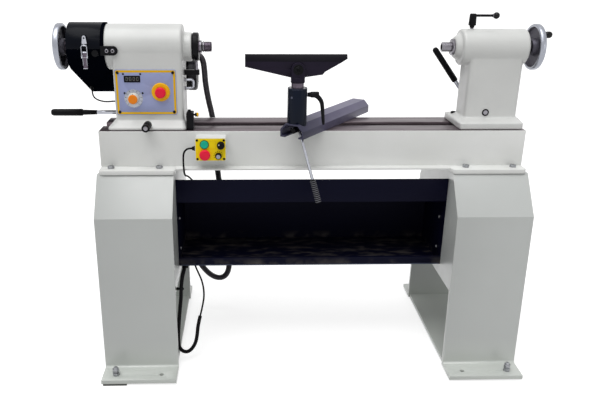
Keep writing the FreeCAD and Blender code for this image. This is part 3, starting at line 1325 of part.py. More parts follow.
def quill():
    """Quill with a Morse taper socket and a clearance bore for the feed screw."""
    end = QUILL_END
    body = turned_x([(QUILL_TIP, 0), (QUILL_TIP, QUILL_R - 1), (QUILL_TIP + 1, QUILL_R), (end, QUILL_R),
                     (end, 0)],
                    0, AXIS_Z)
    taper_end = QUILL_TIP + QUILL_TAPER_L
    narrow = QUILL_BORE - QUILL_TAPER_L * MORSE_TAPER
    socket = cone(QUILL_BORE, narrow, (QUILL_TIP, 0, AXIS_Z), (taper_end, 0, AXIS_Z))
    through = rod(5, (QUILL_TIP - 1, 0, AXIS_Z), (end, 0, AXIS_Z))
    thread = rod(SCREW_R + SHAFT_CLEAR, (taper_end + 3, 0, AXIS_Z), (end + 1, 0, AXIS_Z))
    return cut(body, socket, through, thread)


def feed_screw():
    """Feed screw with the thrust collar behind the barrel."""
    start, collar = QUILL_TIP + SCREW_FROM, TAIL_R + SLIDE_GAP
    hub, end = WHEEL2_RIGHT - WHEEL_W - 4, WHEEL2_RIGHT - 1
    return turned_x([(start, 0), (start, SCREW_R), (collar, SCREW_R), (collar, COLLAR_R), (hub, COLLAR_R),
                     (hub, SCREW_R), (end, SCREW_R), (end, 0)], 0, AXIS_Z)


CRANK_Y = -CRANK_R * math.sin(math.radians(CRANK_ANGLE))
CRANK_Z = AXIS_Z - CRANK_R * math.cos(math.radians(CRANK_ANGLE))


def tail_handwheel():
    wheel = handwheel(WHEEL2_RIGHT, WHEEL2_RIGHT - WHEEL_W, SCREW_R)
    return cut(wheel, rod(CRANK_PIN_R + SHAFT_CLEAR, (WHEEL2_RIGHT - 30, CRANK_Y, CRANK_Z),
                          (WHEEL2_RIGHT + 1, CRANK_Y, CRANK_Z)))


def crank_knob():
    x = WHEEL2_RIGHT
    return turned_x([(x - 6, 0), (x - 6, CRANK_PIN_R), (x + 0.3, CRANK_PIN_R), (x + 0.3, 8), (x + 8, 10.5),
                     (x + 22, 10.5), (x + 26, 7), (x + 26, 0)], CRANK_Y, CRANK_Z)


def quill_lock():
    """Quill clamping lever: screw, hub, arm and ball."""
    z0 = AXIS_Z + TAIL_BARREL_R
    screw = rod(LOCK_R, (LOCK_X, 0, AXIS_Z + QUILL_R + 1), (LOCK_X, 0, z0 + 12))
    neck = rod(7, (LOCK_X, 0, z0 + 3), (LOCK_X, 0, z0 + 12))
    hub = cone(12, 10.5, (LOCK_X, 0, z0 + 10), (LOCK_X, 0, z0 + 46))
    arm_z = z0 + 40
    arm = rod(4, (LOCK_X, 0, arm_z), (LOCK_X + 66, 0, arm_z))
    ball = Part.makeSphere(10.5, V(LOCK_X + 74, 0, arm_z))
    return fuse(screw, neck, hub, arm, ball)


def build_headstock():
    save("headstock_casting", cut(headstock_casting(), *control_holes()))
    save("spindle_bearings", bearing(HEAD_L + 14), bearing(HEAD_R - 14 - BEARING_W))
    save("spindle", spindle())
    save("index_ring", index_ring())
    save("outboard_handwheel", handwheel(SPINDLE_L, SPINDLE_L + WHEEL_W, SHAFT_R))
    save("spindle_pulley", pulley(BELT_X, 0, AXIS_Z, PULLEY_R, SHAFT_R))
    save("motor_pulley", motor_pulley())
    save("drive_belt", drive_belt())
    save("motor", motor())
    save("belt_housing", belt_housing())
    save("belt_cover", belt_cover(), latch_hook(), cover_hinge())
    save("housing_fittings", *housing_fittings())
    save("latch_lever", latch_lever())
    save("latch_bail", latch_bail())
    save("control_panel", control_panel())
    save("panel_fittings", *panel_fittings())
    estop_face = FACE_Y - ESTOP_COLLAR_T
    save("estop_button", mushroom(ESTOP[0], ESTOP[1], estop_face, ESTOP_R, ESTOP_STEM_R,
                                  ESTOP_TRAVEL + 1, 12, 14))
    save("speed_knob", round_knob(DIAL[0], DIAL[1], FACE_Y - 1, KNOB_R, 18, KNOB_STEM_R, 12, STEM_GAP))
    save("index_knob", index_knob())
    save("headstock_clamp_lever",
         clamp_lever(HEAD_LEVER_X, HEAD_LEVER_Z, 10 - NECK_Y, 180, HEAD_LEVER_LEN, HEAD_GRIP_L, HEAD_GRIP_R))
    save("headstock_clamp_plate", *fixed_clamp(HEAD_LEVER_X, HEAD_LEVER_Z))
    save("stop_block", stop_block())
    save("headstock_hardware", *headstock_hardware())


def build_switch_box():
    save("switch_box", *switch_box())
    save("start_button", start_button())
    save("stop_button", mushroom(STOP[0], STOP[1], BOX_FACE_Y, STOP_R, STOP_STEM_R, 5, 9, BUTTON_DEPTH))
    save("mode_knob", round_knob(MODE[0], MODE[1], BOX_FACE_Y, MODE_R, 14, KNOB_STEM_R, BUTTON_DEPTH,
                                 STEM_GAP))
    save("trim_knob", round_knob(TRIM[0], TRIM[1], BOX_FACE_Y, TRIM_R, 12, KNOB_STEM_R, BUTTON_DEPTH,
                                 STEM_GAP))
    save("cable_fittings", *cable_fittings())
    save("switch_cable", tube(CABLE, CABLE_R, "switch_cable"))
    save("cable_sleeve", tube(SLEEVE, SLEEVE_R, "cable_sleeve"))
    save("motor_conduit", tube(CONDUIT, CONDUIT_R, "motor_conduit"))
    save("interlock_cable", tube(INTERLOCK, INTERLOCK_R, "interlock_cable"))


def build_banjo():
    save("banjo_clamp_plate", clamp_plate(BANJO_X, STUD_R + SHAFT_CLEAR))
    save("banjo_bolt", banjo_bolt())
    save("banjo_channel", banjo_channel())
    save("banjo_post", banjo_post())
    save("banjo_lever", banjo_lever())
    save("post_lever", post_lever())
    save("rest_bush", rest_bush())
    save("rest_stem", rest_stem(), rest_bolt())
    save("rest_blade", rest_blade())


def build_tailstock():
    save("tailstock_casting", tailstock_casting())
    save("tailstock_fittings", *tailstock_fittings())
    save("quill", quill())
    save("feed_screw", feed_screw())
    save("tail_handwheel", tail_handwheel())
    save("crank_knob", crank_knob())
    save("quill_lock", quill_lock())
    save("tailstock_clamp_lever",
         clamp_lever(TAIL_LEVER_X, TAIL_LEVER_Z, -TAIL_COL_Y - 1, TAIL_LEVER_ANGLE, TAIL_LEVER_LEN,
                     TAIL_GRIP_L, TAIL_GRIP_R))
    save("tailstock_clamp_plate", *fixed_clamp(TAIL_LEVER_X, TAIL_LEVER_Z))


os.makedirs("parts", exist_ok=True)
build_frame()
build_headstock()
build_switch_box()
build_banjo()
build_tailstock()
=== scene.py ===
import bpy, bmesh
import math
from mathutils import Matrix, Vector


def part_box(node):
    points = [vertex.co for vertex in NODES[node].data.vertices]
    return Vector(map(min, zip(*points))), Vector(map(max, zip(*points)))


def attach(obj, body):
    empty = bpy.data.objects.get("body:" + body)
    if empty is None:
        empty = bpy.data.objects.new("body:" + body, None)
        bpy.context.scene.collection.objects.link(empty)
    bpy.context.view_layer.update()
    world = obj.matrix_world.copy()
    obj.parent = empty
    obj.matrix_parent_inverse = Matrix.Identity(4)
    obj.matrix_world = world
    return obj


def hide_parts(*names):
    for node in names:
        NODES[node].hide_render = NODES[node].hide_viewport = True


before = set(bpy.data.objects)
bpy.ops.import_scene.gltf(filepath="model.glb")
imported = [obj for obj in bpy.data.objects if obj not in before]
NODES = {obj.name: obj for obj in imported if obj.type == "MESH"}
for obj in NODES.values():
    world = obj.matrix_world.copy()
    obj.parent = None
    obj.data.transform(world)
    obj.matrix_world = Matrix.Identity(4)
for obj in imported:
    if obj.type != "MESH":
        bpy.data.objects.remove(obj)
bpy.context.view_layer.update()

# Wood lathe, dressed round its CAD frame. Metres, +X along the bed, +Y away from the turner, +Z up.
MM = 0.001
X, Y, Z = Vector((1, 0, 0)), Vector((0, 1, 0)), Vector((0, 0, 1))
SCENE = bpy.context.scene
SCENE.view_settings.view_transform = "Standard"

# The banjo's bolt and the middle of its post, in mm, and the banjo's turn from +X in degrees.
BANJO_PIVOT, BANJO_TURN_DEG = 51.5, 56
POST_X, POST_Y = -60.6, -166.2


# --- Helpers ----------------------------------------------------------------------------------
def placed(name, data):
    """A new object in the scene."""
    made = bpy.data.objects.new(name, data)
    SCENE.collection.objects.link(made)
    return made


def socket(shader, **values):
    """Set a shader's inputs by their names, with _ for a space."""
    for name, value in values.items():
        shader.inputs[name.replace("_", " ")].default_value = value


def ranged(tree, value, low, high, to_low, to_high):
    """A value mapped from low and high onto to_low and to_high."""
    made = tree.nodes.new("ShaderNodeMapRange")
    for key, number in (("From Min", low), ("From Max", high), ("To Min", to_low), ("To Max", to_high)):
        made.inputs[key].default_value = number
    tree.links.new(value, made.inputs["Value"])
    return made.outputs["Result"]


def arc(x, y, z, radius, start, end, steps):
    """Points of an upright arc from one angle to another, in degrees from +X towards +Z."""
    angles = [math.radians(start + (end - start) * k / steps) for k in range(steps + 1)]
    return [(x + radius * math.cos(angle), y, z + radius * math.sin(angle)) for angle in angles]


def add_bevel(made, width, angle):
    """Round the edges by a width in mm, where faces meet at more than an angle in degrees."""
    edge = made.modifiers.new("edge", "BEVEL")
    edge.width = width * MM
    edge.segments = 2
    edge.limit_method = "ANGLE"
    edge.angle_limit = math.radians(angle)
    edge.harden_normals = True


# --- Camera and stage -------------------------------------------------------------------------
def make_camera():
    """The camera in front of the bed, a little left of its middle and looking down on it."""
    place = Vector((-0.21107, -2.07088, 1.26978))
    turn, dip, roll = 0.0268, 0.3481, 0.0042
    focal_px, frame_px, centre_px = 638.08, 600.0, 263.85
    data = bpy.data.cameras.new("camera")
    data.sensor_width = 36.0
    data.lens = data.sensor_width * focal_px / frame_px
    data.shift_x = 0.5 - centre_px / frame_px
    data.clip_start, data.clip_end = 0.05, 200.0
    right = Vector((math.cos(turn), -math.sin(turn), 0))
    look = Vector((math.sin(turn) * math.cos(dip), math.cos(turn) * math.cos(dip), -math.sin(dip)))
    up = right.cross(look)
    across = right * math.cos(roll) + up * math.sin(roll)
    upward = up * math.cos(roll) - right * math.sin(roll)
    axes = Matrix((across, upward, -look)).transposed()
    camera = placed("camera", data)
    camera.matrix_world = Matrix.Translation(place) @ axes.to_4x4()
    SCENE.camera = camera


def area_light(name, place, target, size, power):
    data = bpy.data.lights.new(name, "AREA")
    data.shape = "RECTANGLE"
    data.size, data.size_y = size
    data.energy = power
    lamp = placed(name, data)
    lamp.location = place
    lamp.rotation_mode = "QUATERNION"
    lamp.rotation_quaternion = (Vector(target) - Vector(place)).to_track_quat("-Z", "Y")


def seen_directly(tree):
    """1 where a camera, glossy or transmission ray looks, and 0 for the light that falls on the object."""
    rays = tree.nodes.new("ShaderNodeLightPath")
    found = rays.outputs["Is Camera Ray"]
    for name in ("Is Glossy Ray", "Is Transmission Ray"):
        either = tree.nodes.new("ShaderNodeMath")
        either.operation = "MAXIMUM"
        tree.links.new(found, either.inputs[0])
        tree.links.new(rays.outputs[name], either.inputs[1])
        found = either.outputs[0]
    return found


def make_stage():
    """A pale floor, a world that is white to look at and plainer as light, a soft sun and two lamps."""
    world_light, world_seen = 0.34, 1.0
    floor_grey, floor_seen = 0.55, 0.72
    half, drop = 45.0, 0.0005
    white = (1, 1, 1, 1)

    world = bpy.data.worlds.new("world")
    world.use_nodes = True
    SCENE.world = world
    tree = world.node_tree
    back = tree.nodes["Background"]
    socket(back, Color=white)
    tree.links.new(ranged(tree, seen_directly(tree), 0, 1, world_light, world_seen),
                   back.inputs["Strength"])

    mesh = bpy.data.meshes.new("floor")
    mesh.from_pydata([(-half, -half, 0), (half, -half, 0), (half, half, 0), (-half, half, 0)], [],
                     [(0, 1, 2, 3)])
    floor = placed("floor", mesh)
    floor.location.z = -drop
    paint = bpy.data.materials.new("floor_white")
    paint.use_nodes = True
    tree = paint.node_tree
    shader = tree.nodes["Principled BSDF"]
    socket(shader, Roughness=0.95, Specular_IOR_Level=0.0,
           Base_Color=(floor_grey, floor_grey, floor_grey, 1), Emission_Color=white)
    tree.links.new(ranged(tree, seen_directly(tree), 0, 1, 0.0, floor_seen),
                   shader.inputs["Emission Strength"])
    mesh.materials.append(paint)

    sun = bpy.data.lights.new("top_sun", "SUN")
    sun.energy = 1.95
    sun.angle = math.radians(50)
    placed("top_sun", sun).rotation_euler = (math.radians(12), math.radians(-10), 0)
    area_light("key", (-0.5, -2.0, 3.2), target=(-0.1, 0, 0.9), size=(3.6, 0.6), power=11)
    area_light("fill", (2.4, -2.4, 1.5), target=(0, 0, 0.7), size=(1.2, 1.2), power=4)


# --- Materials --------------------------------------------------------------------------------
def srgb(red, green, blue):
    """A colour given in screen values from 0 to 255, as four linear numbers."""
    def linear(value):
        value /= 255.0
        return value / 12.92 if value <= 0.04045 else ((value + 0.055) / 1.055) ** 2.4
    return (*(linear(value) for value in (red, green, blue)), 1.0)


class Finish:
    """A procedural material: base colour with mottling, roughness that varies, and fine bump."""

    def __init__(self, name, colour, rough, metal=0.0, coat=0.0, specular=0.5):
        self.name = name
        self.material = bpy.data.materials.new("look_" + name)
        self.material.use_nodes = True
        self.tree = self.material.node_tree
        self.shader = self.tree.nodes["Principled BSDF"]
        self.colour = srgb(*colour)
        socket(self.shader, Base_Color=self.colour, Roughness=rough, Metallic=metal, Coat_Weight=coat,
               Specular_IOR_Level=specular, Coat_Roughness=0.3)
        self.place = self.node("ShaderNodeTexCoord").outputs["Object"]
        self.tint = None
        self.height = None

    def node(self, kind, **settings):
        made = self.tree.nodes.new(kind)
        for key, value in settings.items():
            setattr(made, key, value)
        return made

    def link(self, source, target):
        self.tree.links.new(source, target)

    def ranged(self, value, low, high, to_low, to_high):
        return ranged(self.tree, value, low, high, to_low, to_high)

    def noise(self, scale, detail, stretch):
        move = self.node("ShaderNodeMapping")
        socket(move, Scale=stretch)
        self.link(self.place, move.inputs["Vector"])
        made = self.node("ShaderNodeTexNoise")
        socket(made, Scale=scale, Detail=detail)
        self.link(move.outputs["Vector"], made.inputs["Vector"])
        return made.outputs["Fac"]

    def along_axis(self, axis, vector=None):
        """One coordinate of a vector, which is the place on the object unless another is given."""
        parts = self.node("ShaderNodeSeparateXYZ")
        self.link(vector or self.place, parts.inputs[0])
        return parts.outputs[axis]

    def mixed(self, factor, second):
        """The colour so far, mixed with a second one by a factor."""
        made = self.node("ShaderNodeMix", data_type="RGBA")
        if self.tint is None:
            made.inputs[6].default_value = self.colour
        else:
            self.link(self.tint, made.inputs[6])
        made.inputs[7].default_value = srgb(*second)
        self.link(factor, made.inputs[0])
        self.tint = made.outputs[2]
        self.link(self.tint, self.shader.inputs["Base Color"])
        return self

    def mottle(self, second, scale, amount, stretch=(1, 1, 1)):
        """Soft patches of a second colour."""
        return self.mixed(self.ranged(self.noise(scale, 4.0, stretch), 0.35, 0.7, 0.0, amount), second)

    def below(self, height, soft, second, amount):
        """Another tone under a height."""
        return self.mixed(self.ranged(self.along_axis("Z"), height + soft, height - soft, 0.0, amount),
                          second)

    def painted_shade_fade(self, turn, origin, start, end, second, amount):
        """Painted shade: a darker second tone that fades from start to end, in mm along a level line at a
        turn from +X.
        """
        move = self.node("ShaderNodeMapping", vector_type="TEXTURE")
        socket(move, Location=(origin * MM, 0, 0), Rotation=(0, 0, math.radians(turn)))
        self.link(self.place, move.inputs["Vector"])
        far = self.along_axis("X", move.outputs["Vector"])
        return self.mixed(self.ranged(far, start * MM, end * MM, amount, 0.0), second)

    def dusty(self, height, soft, second):
        """Dust in patches, kept to what lies under a height."""
        dust = self.ranged(self.noise(16, 5.0, (1, 3, 1)), 0.48, 0.76, 0.0, 0.45)
        kept = self.node("ShaderNodeMath", operation="MULTIPLY")
        self.link(dust, kept.inputs[0])
        self.link(self.ranged(self.along_axis("Z"), height + soft, height, 0.0, 1.0), kept.inputs[1])
        return self.mixed(kept.outputs[0], second)

    def roughness(self, scale, low, high, stretch=(1, 1, 1)):
        rough = self.ranged(self.noise(scale, 4.0, stretch), 0.3, 0.7, low, high)
        self.link(rough, self.shader.inputs["Roughness"])
        return self

    def bump(self, scale, strength, distance=0.0002, stretch=(1, 1, 1)):
        made = self.node("ShaderNodeBump")
        socket(made, Strength=strength, Distance=distance)
        self.link(self.noise(scale, 2.0, stretch), made.inputs["Height"])
        if self.height is not None:
            self.link(self.height, made.inputs["Normal"])
        self.height = made.outputs["Normal"]
        self.link(self.height, self.shader.inputs["Normal"])
        return self


def make_finishes():
    """Every finish: base colour and roughness first, then what is laid over them."""
    made = (
        Finish("cream_paint", (230, 231, 229), 0.32, coat=0.3).mottle((219, 220, 216), 6.0, 0.6)
        .roughness(30, 0.28, 0.42).bump(420, 0.12),
        Finish("cast_cream", (216, 217, 215), 0.36, coat=0.3).mottle((206, 207, 205), 8.0, 0.6)
        .roughness(40, 0.3, 0.45).bump(160, 0.16, 0.0006).bump(700, 0.1),
        Finish("leg_cream", (186, 189, 187), 0.36, coat=0.8).mottle((177, 180, 178), 4.0, 0.5)
        .below(0.07, 0.05, (196, 201, 194), 0.6).roughness(25, 0.3, 0.46).bump(380, 0.14),
        Finish("ground_ways", (112, 100, 106), 0.4, metal=0.8).mottle((72, 62, 66), 14, 0.75, (0.5, 3, 3))
        .roughness(60, 0.28, 0.52, (0.1, 3, 3)).bump(500, 0.2, 0.0002, (0.04, 2, 2)),
        Finish("black_gloss", (4, 7, 17), 0.26, specular=0.07).mottle((9, 11, 20), 5.0, 0.5).bump(300, 0.04),
        Finish("black_satin", (4, 6, 14), 0.6, specular=0.0).mottle((9, 11, 18), 6.0, 0.5).bump(300, 0.08),
        Finish("tray_navy", (5, 5, 24), 0.5, specular=0.07).mottle((12, 15, 36), 3.0, 0.5).bump(260, 0.1)
        .dusty(0.332, 0.02, (120, 114, 108)),
        # The hem's lighter navy is a painted highlight along the edge of the tray's lip.
        Finish("hem_highlight_navy", (70, 78, 100), 0.34, specular=0.3).mottle((40, 46, 66), 12, 0.6),
        Finish("turned_steel", (138, 136, 142), 0.2, metal=1.0).mottle((96, 92, 98), 34, 0.6)
        .roughness(90, 0.14, 0.3).bump(900, 0.1, 0.0001),
        Finish("dark_steel", (92, 84, 94), 0.2, metal=1.0).mottle((56, 50, 58), 40, 0.6)
        .roughness(70, 0.14, 0.3).bump(700, 0.1, 0.0001),
        Finish("turned_alloy", (158, 161, 170), 0.28, metal=0.9).mottle((140, 142, 152), 24, 0.3)
        .roughness(70, 0.22, 0.38).bump(800, 0.12, 0.0001),
        Finish("rim_grey", (92, 96, 112), 0.36, metal=0.3, specular=0.3).mottle((60, 64, 80), 60, 0.5),
        Finish("alloy_centre", (150, 150, 160), 0.4, metal=0.6).mottle((120, 120, 130), 60, 0.5),
        Finish("alloy_cast", (92, 90, 100), 0.5, metal=0.6, specular=0.3).mottle((66, 64, 74), 20, 0.5)
        .bump(300, 0.3, 0.0004),
        Finish("chrome", (176, 178, 186), 0.1, metal=1.0).mottle((150, 152, 160), 60, 0.5)
        .roughness(30, 0.06, 0.16),
        Finish("zinc", (168, 170, 174), 0.3, metal=0.85).mottle((104, 104, 106), 90, 0.7)
        .roughness(80, 0.28, 0.5),
        Finish("foot_zinc", (168, 170, 174), 0.3, metal=0.85).mottle((104, 104, 106), 90, 0.7)
        .below(0.0065, 0.0006, (62, 62, 58), 1.0).roughness(80, 0.28, 0.5),
        Finish("black_steel", (7, 7, 11), 0.34, specular=0.1).mottle((24, 24, 28), 50, 0.5)
        .roughness(40, 0.26, 0.42).bump(500, 0.15),
        Finish("black_plastic", (6, 6, 9), 0.42, specular=0.09).mottle((16, 16, 20), 40, 0.5)
        .bump(900, 0.12, 0.0001),
        Finish("black_ball", (8, 8, 11), 0.14, specular=0.2).mottle((20, 20, 24), 30, 0.3),
        # The channel turns darker navy towards its front end: painted shade, as from the post above it.
        Finish("banjo_violet", (98, 94, 120), 0.42, specular=0.3).mottle((76, 72, 96), 10, 0.6)
        .painted_shade_fade(BANJO_TURN_DEG, BANJO_PIVOT, -240, -20, (30, 32, 54), 0.8).bump(300, 0.14, 0.0003),
        Finish("post_navy", (4, 13, 30), 0.28, specular=0.12).mottle((12, 22, 42), 20, 0.5)
        .bump(260, 0.1, 0.0003),
        Finish("rest_iron", (9, 7, 15), 0.42, specular=0.1).below(1.012, 0.0012, (34, 28, 44), 0.9)
        .mottle((16, 12, 24), 14, 0.5).bump(180, 0.2, 0.0005),
        Finish("panel_lavender", (164, 172, 212), 0.42, specular=0.2).mottle((152, 160, 202), 3.0, 0.5)
        .bump(900, 0.06, 0.0001),
        Finish("panel_ochre", (246, 196, 6), 0.4, specular=0.2).mottle((226, 174, 14), 4.0, 0.5),
        Finish("yellow_plate", (255, 224, 0), 0.4, specular=0.2).mottle((246, 210, 0), 6.0, 0.5),
        Finish("white_case", (226, 228, 226), 0.36).mottle((214, 216, 212), 20, 0.4).bump(700, 0.1, 0.0001),
        Finish("red_button", (248, 22, 66), 0.3, specular=0.25).mottle((232, 14, 52), 30, 0.4),
        Finish("green_button", (0, 84, 52), 0.3, specular=0.2).mottle((0, 70, 40), 30, 0.4),
        Finish("orange_cap", (255, 142, 18), 0.32, specular=0.25).mottle((236, 126, 26), 20, 0.4),
        Finish("ivory_skirt", (228, 226, 212), 0.32, coat=0.2).mottle((214, 212, 198), 24, 0.4),
        Finish("yellow_collar", (255, 196, 4), 0.34, specular=0.25).mottle((240, 178, 14), 20, 0.4),
        Finish("display_black", (20, 20, 24), 0.12, coat=0.5).mottle((28, 28, 34), 20, 0.4),
        Finish("cord_black", (8, 7, 10), 0.5, specular=0.08).mottle((18, 16, 20), 30, 0.5).bump(500, 0.15),
        Finish("conduit_black", (30, 25, 34), 0.42, specular=0.3).mottle((52, 46, 52), 16, 0.5)
        .bump(300, 0.12),
        Finish("motor_black", (10, 10, 15), 0.4, specular=0.2).mottle((34, 35, 42), 10, 0.5)
        .bump(220, 0.2, 0.0004),
        Finish("digit_grey", (150, 154, 150), 0.4).mottle((120, 124, 120), 60, 0.4),
        Finish("start_green", (0, 186, 154), 0.3, specular=0.25).mottle((0, 168, 134), 30, 0.4),
        Finish("grip_grey", (120, 120, 128), 0.5, specular=0.3).mottle((92, 92, 98), 40, 0.5)
        .bump(600, 0.1, 0.0001),
        Finish("belt_rubber", (24, 24, 26), 0.7).mottle((36, 36, 38), 60, 0.5),
    )
    return {finish.name: finish.material for finish in made}


make_camera()
make_stage()
PAINT = make_finishes()


# --- Pieces ---------------------------------------------------------------------------------
def mark_sharp(work, sharp):
    """Smooth faces, except where two meet at more than the sharp angle in degrees."""
    for face in work.faces:
        face.smooth = True
    for edge in work.edges:
        if len(edge.link_faces) == 2:
            edge.smooth = edge.calc_face_angle(0.0) < math.radians(sharp)


# Steps in a rounded corner, and the distance in mm within which a piece's vertices become one.
CORNER_STEPS, MERGE = 6, 1e-4


class Piece:
    """One piece: solids gathered in one mesh in millimetres, each with its own finish."""

    def __init__(self, name, body, slot, replaces=()):
        self.name, self.body, self.slot, self.nodes = name, body, slot, replaces
        self.work = bmesh.new()
        self.finishes = []

    def slot_of(self, finish):
        if finish not in self.finishes:
            self.finishes.append(finish)
        return self.finishes.index(finish)

    def face(self, verts, finish):
        try:
            made = self.work.faces.new(verts)
        except ValueError:
            return
        made.material_index = self.slot_of(finish)

    def rings(self, rings, finish, closed=False):
        """Skin between rings of vertices; a ring of one vertex is a pole."""
        made = [[self.work.verts.new(point) for point in ring] for ring in rings]
        pairs = list(zip(made, made[1:]))
        if closed:
            pairs.append((made[-1], made[0]))
        for a, b in pairs:
            count = max(len(a), len(b))
            for j in range(count):
                k = (j + 1) % count
                if len(a) == 1:
                    self.face((a[0], b[k], b[j]), finish)
                elif len(b) == 1:
                    self.face((a[j], a[k], b[0]), finish)
                else:
                    self.face((a[j], a[k], b[k], b[j]), finish)

    def turned(self, profile, origin, axis, finish, sides=48, flutes=0, depth=0.0, closed=False):
        """A turned solid from (distance along, radius) points; flutes groove its side lengthwise."""
        axis = Vector(axis).normalized()
        side = axis.orthogonal().normalized()
        other = axis.cross(side)
        rings = []
        for along, radius in profile:
            centre = Vector(origin) + axis * along
            if radius <= 0:
                rings.append([centre])
                continue
            ring = []
            for j in range(sides):
                angle = 2 * math.pi * j / sides
                reach = radius - depth * (0.5 - 0.5 * math.cos(flutes * angle)) if flutes else radius
                ring.append(centre + (side * math.cos(angle) + other * math.sin(angle)) * reach)
            rings.append(ring)
        self.rings(rings, finish, closed)

    def rod(self, start, end, radius, finish, edge=0.6, sides=32):
        a, b = Vector(start), Vector(end)
        length = (b - a).length
        edge = min(edge, radius / 2, length / 3)
        profile = [(0, 0), (0, radius - edge), (edge, radius), (length - edge, radius),
                   (length, radius - edge), (length, 0)]
        self.turned(profile, a, b - a, finish, sides)

    def ball(self, centre, radius, finish, sides=32):
        steps = 12
        profile = [(radius - radius * math.cos(math.pi * k / steps), radius * math.sin(math.pi * k / steps))
                   for k in range(steps + 1)]
        profile[0], profile[-1] = (0, 0), (2 * radius, 0)
        self.turned(profile, Vector(centre) - X * radius, X, finish, sides)

    def wire(self, points, radius, finish, sides=16):
        """A bent bar along points, with one radius or a radius at each point."""
        radii = radius if isinstance(radius, list) else [radius] * len(points)
        at = [Vector(point) for point in points]
        side = (at[1] - at[0]).orthogonal().normalized()
        rings = [[at[0]]]
        for k, point in enumerate(at):
            ahead = (at[min(k + 1, len(at) - 1)] - at[max(k - 1, 0)]).normalized()
            side = (side - ahead * side.dot(ahead)).normalized()
            other = ahead.cross(side)
            turns = [2 * math.pi * j / sides for j in range(sides)]
            rings.append([point + (side * math.cos(t) + other * math.sin(t)) * radii[k] for t in turns])
        rings.append([at[-1]])
        self.rings(rings, finish)

    def slab(self, outline, depth, finish):
        """A flat plate: its outline is a list of points, pushed through by the vector depth."""
        low = [self.work.verts.new(Vector(point)) for point in outline]
        high = [self.work.verts.new(Vector(point) + Vector(depth)) for point in outline]
        self.face(low[::-1], finish)
        self.face(high, finish)
        for k in range(len(low)):
            j = (k + 1) % len(low)
            self.face((low[k], low[j], high[j], high[k]), finish)

    def block(self, low, high, finish):
        (x0, y0, z0), (x1, y1, z1) = low, high
        self.slab([(x0, y0, z0), (x1, y0, z0), (x1, y0, z1), (x0, y0, z1)], (0, y1 - y0, 0), finish)

    def frame(self, outer, inner, depth, finish):
        """A flat rim between two outlines with as many points."""
        push = Vector(depth)
        loops = []
        for outline, out in ((outer, False), (inner, False), (inner, True), (outer, True)):
            loops.append([Vector(point) + (push if out else Vector()) for point in outline])
        self.rings(loops, finish, closed=True)

    def done(self, bevel=0.4, sharp=35):
        """The finished object, riding on its body and standing for its CAD nodes."""
        work = self.work
        bmesh.ops.remove_doubles(work, verts=work.verts, dist=MERGE)
        bmesh.ops.recalc_face_normals(work, faces=work.faces)
        bmesh.ops.scale(work, vec=(MM, MM, MM), verts=work.verts)
        mark_sharp(work, sharp)
        mesh = bpy.data.meshes.new(self.name)
        work.to_mesh(mesh)
        work.free()
        for finish in self.finishes:
            mesh.materials.append(PAINT[finish])
        made = placed(self.name, mesh)
        if bevel:
            add_bevel(made, bevel, sharp)
        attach(made, self.body)
        if self.nodes:
            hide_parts(*self.nodes)
        return made


def corners(centre, half_x, half_z, y):
    """The four corners of an upright rectangle round a centre."""
    return [(centre.x + sx * half_x, y, centre.z + sz * half_z) for sx in (-1, 1) for sz in (-1, 1)]


def rounded_plate(x, z, width, height, radius, y):
    """Outline of an upright plate with rounded corners."""
    points = []
    for sx, sz, start in ((1, 1, 0), (-1, 1, 90), (-1, -1, 180), (1, -1, 270)):
        cx, cz = x + sx * (width / 2 - radius), z + sz * (height / 2 - radius)
        points += arc(cx, y, cz, radius, start, start + 90, CORNER_STEPS)
    return points


def socket_screw(piece, place, axis, radius, height, finish, across):
    """Cap screw with a hexagon socket in its head, the socket painted black as painted shade."""
    edge = height * 0.2
    rim = across * 0.6
    piece.turned([(0, 0), (0, radius), (height - edge, radius), (height, radius - edge), (height, rim)],
                 place, axis, finish, 24)
    # The socket's inside is black: painted shade in the recess.
    hexed = [(height, rim), (height - edge * 0.5, across / 2), (height * 0.45, across / 2),
             (height * 0.45, 0)]
    piece.turned(hexed, place, axis, "black_plastic", 6)


# The spindle line's height, every node's box and the panel's face, in mm.
AXIS = 1036.0
NODE_MM = {name: tuple(Vector(corner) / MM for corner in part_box(name)) for name in NODES}
PANEL_FRONT = NODE_MM["control_panel"][0].y


def middle(node):
    low, high = NODE_MM[node]
    return (low + high) / 2


# --- Cords: their routes in millimetres, the same lines as the CAD cords have -----------------
CABLE = [(-386, -124, 737), (-397, -124, 737), (-407, -124.5, 731), (-413, -126, 720),
         (-414, -130, 702), (-413, -136, 682), (-412, -136, 662), (-410, -124, 647),
         (-408, -98, 639), (-405, -44, 616), (-403, 18, 588), (-402, 78, 560),
         (-401, 126, 535), (-400, 150, 500), (-400, 152, 450), (-401, 150, 400),
         (-402, 152, 350), (-402, 143, 318), (-402, 118, 303), (-402, 70, 298),
         (-402, 10, 301), (-400, -50, 308), (-386, -100, 303), (-366, -130, 274),
         (-359, -148, 233), (-366, -163, 194), (-374, -170, 163)]
SLEEVE = [(-374, -170, 163), (-382, -177, 132), (-385, -181, 98), (-391, -184, 69),
          (-402, -186, 48), (-417, -188, 35), (-432, -189, 36), (-443, -190, 47),
          (-448, -191, 63), (-448.5, -193, 88), (-446, -197, 126), (-441, -202, 176),
          (-435, -207, 226), (-431, -211, 256), (-430, -212, 276), (-429.5, -200.5, 296),
          (-429, -181, 306), (-428.6, -150, 311), (-428, -112, 309), (-428, -80, 309)]
CONDUIT = [(-407, 200, 990), (-390, 200, 990), (-373.5, 200, 981), (-364, 200, 963),
           (-361, 199.5, 932), (-359, 198, 888), (-350, 193, 830), (-336, 188, 770),
           (-328, 184, 700), (-326, 180, 620), (-318, 182, 530), (-304, 184, 440),
           (-292, 184, 350), (-286, 184, 270), (-284, 185, 215), (-285, 187, 175),
           (-292, 188, 146), (-308, 190, 127), (-330, 191, 124), (-354, 192, 134),
           (-378, 193, 157), (-402, 194, 192), (-419, 194, 236), (-426, 192, 272),
           (-426, 192, 306)]
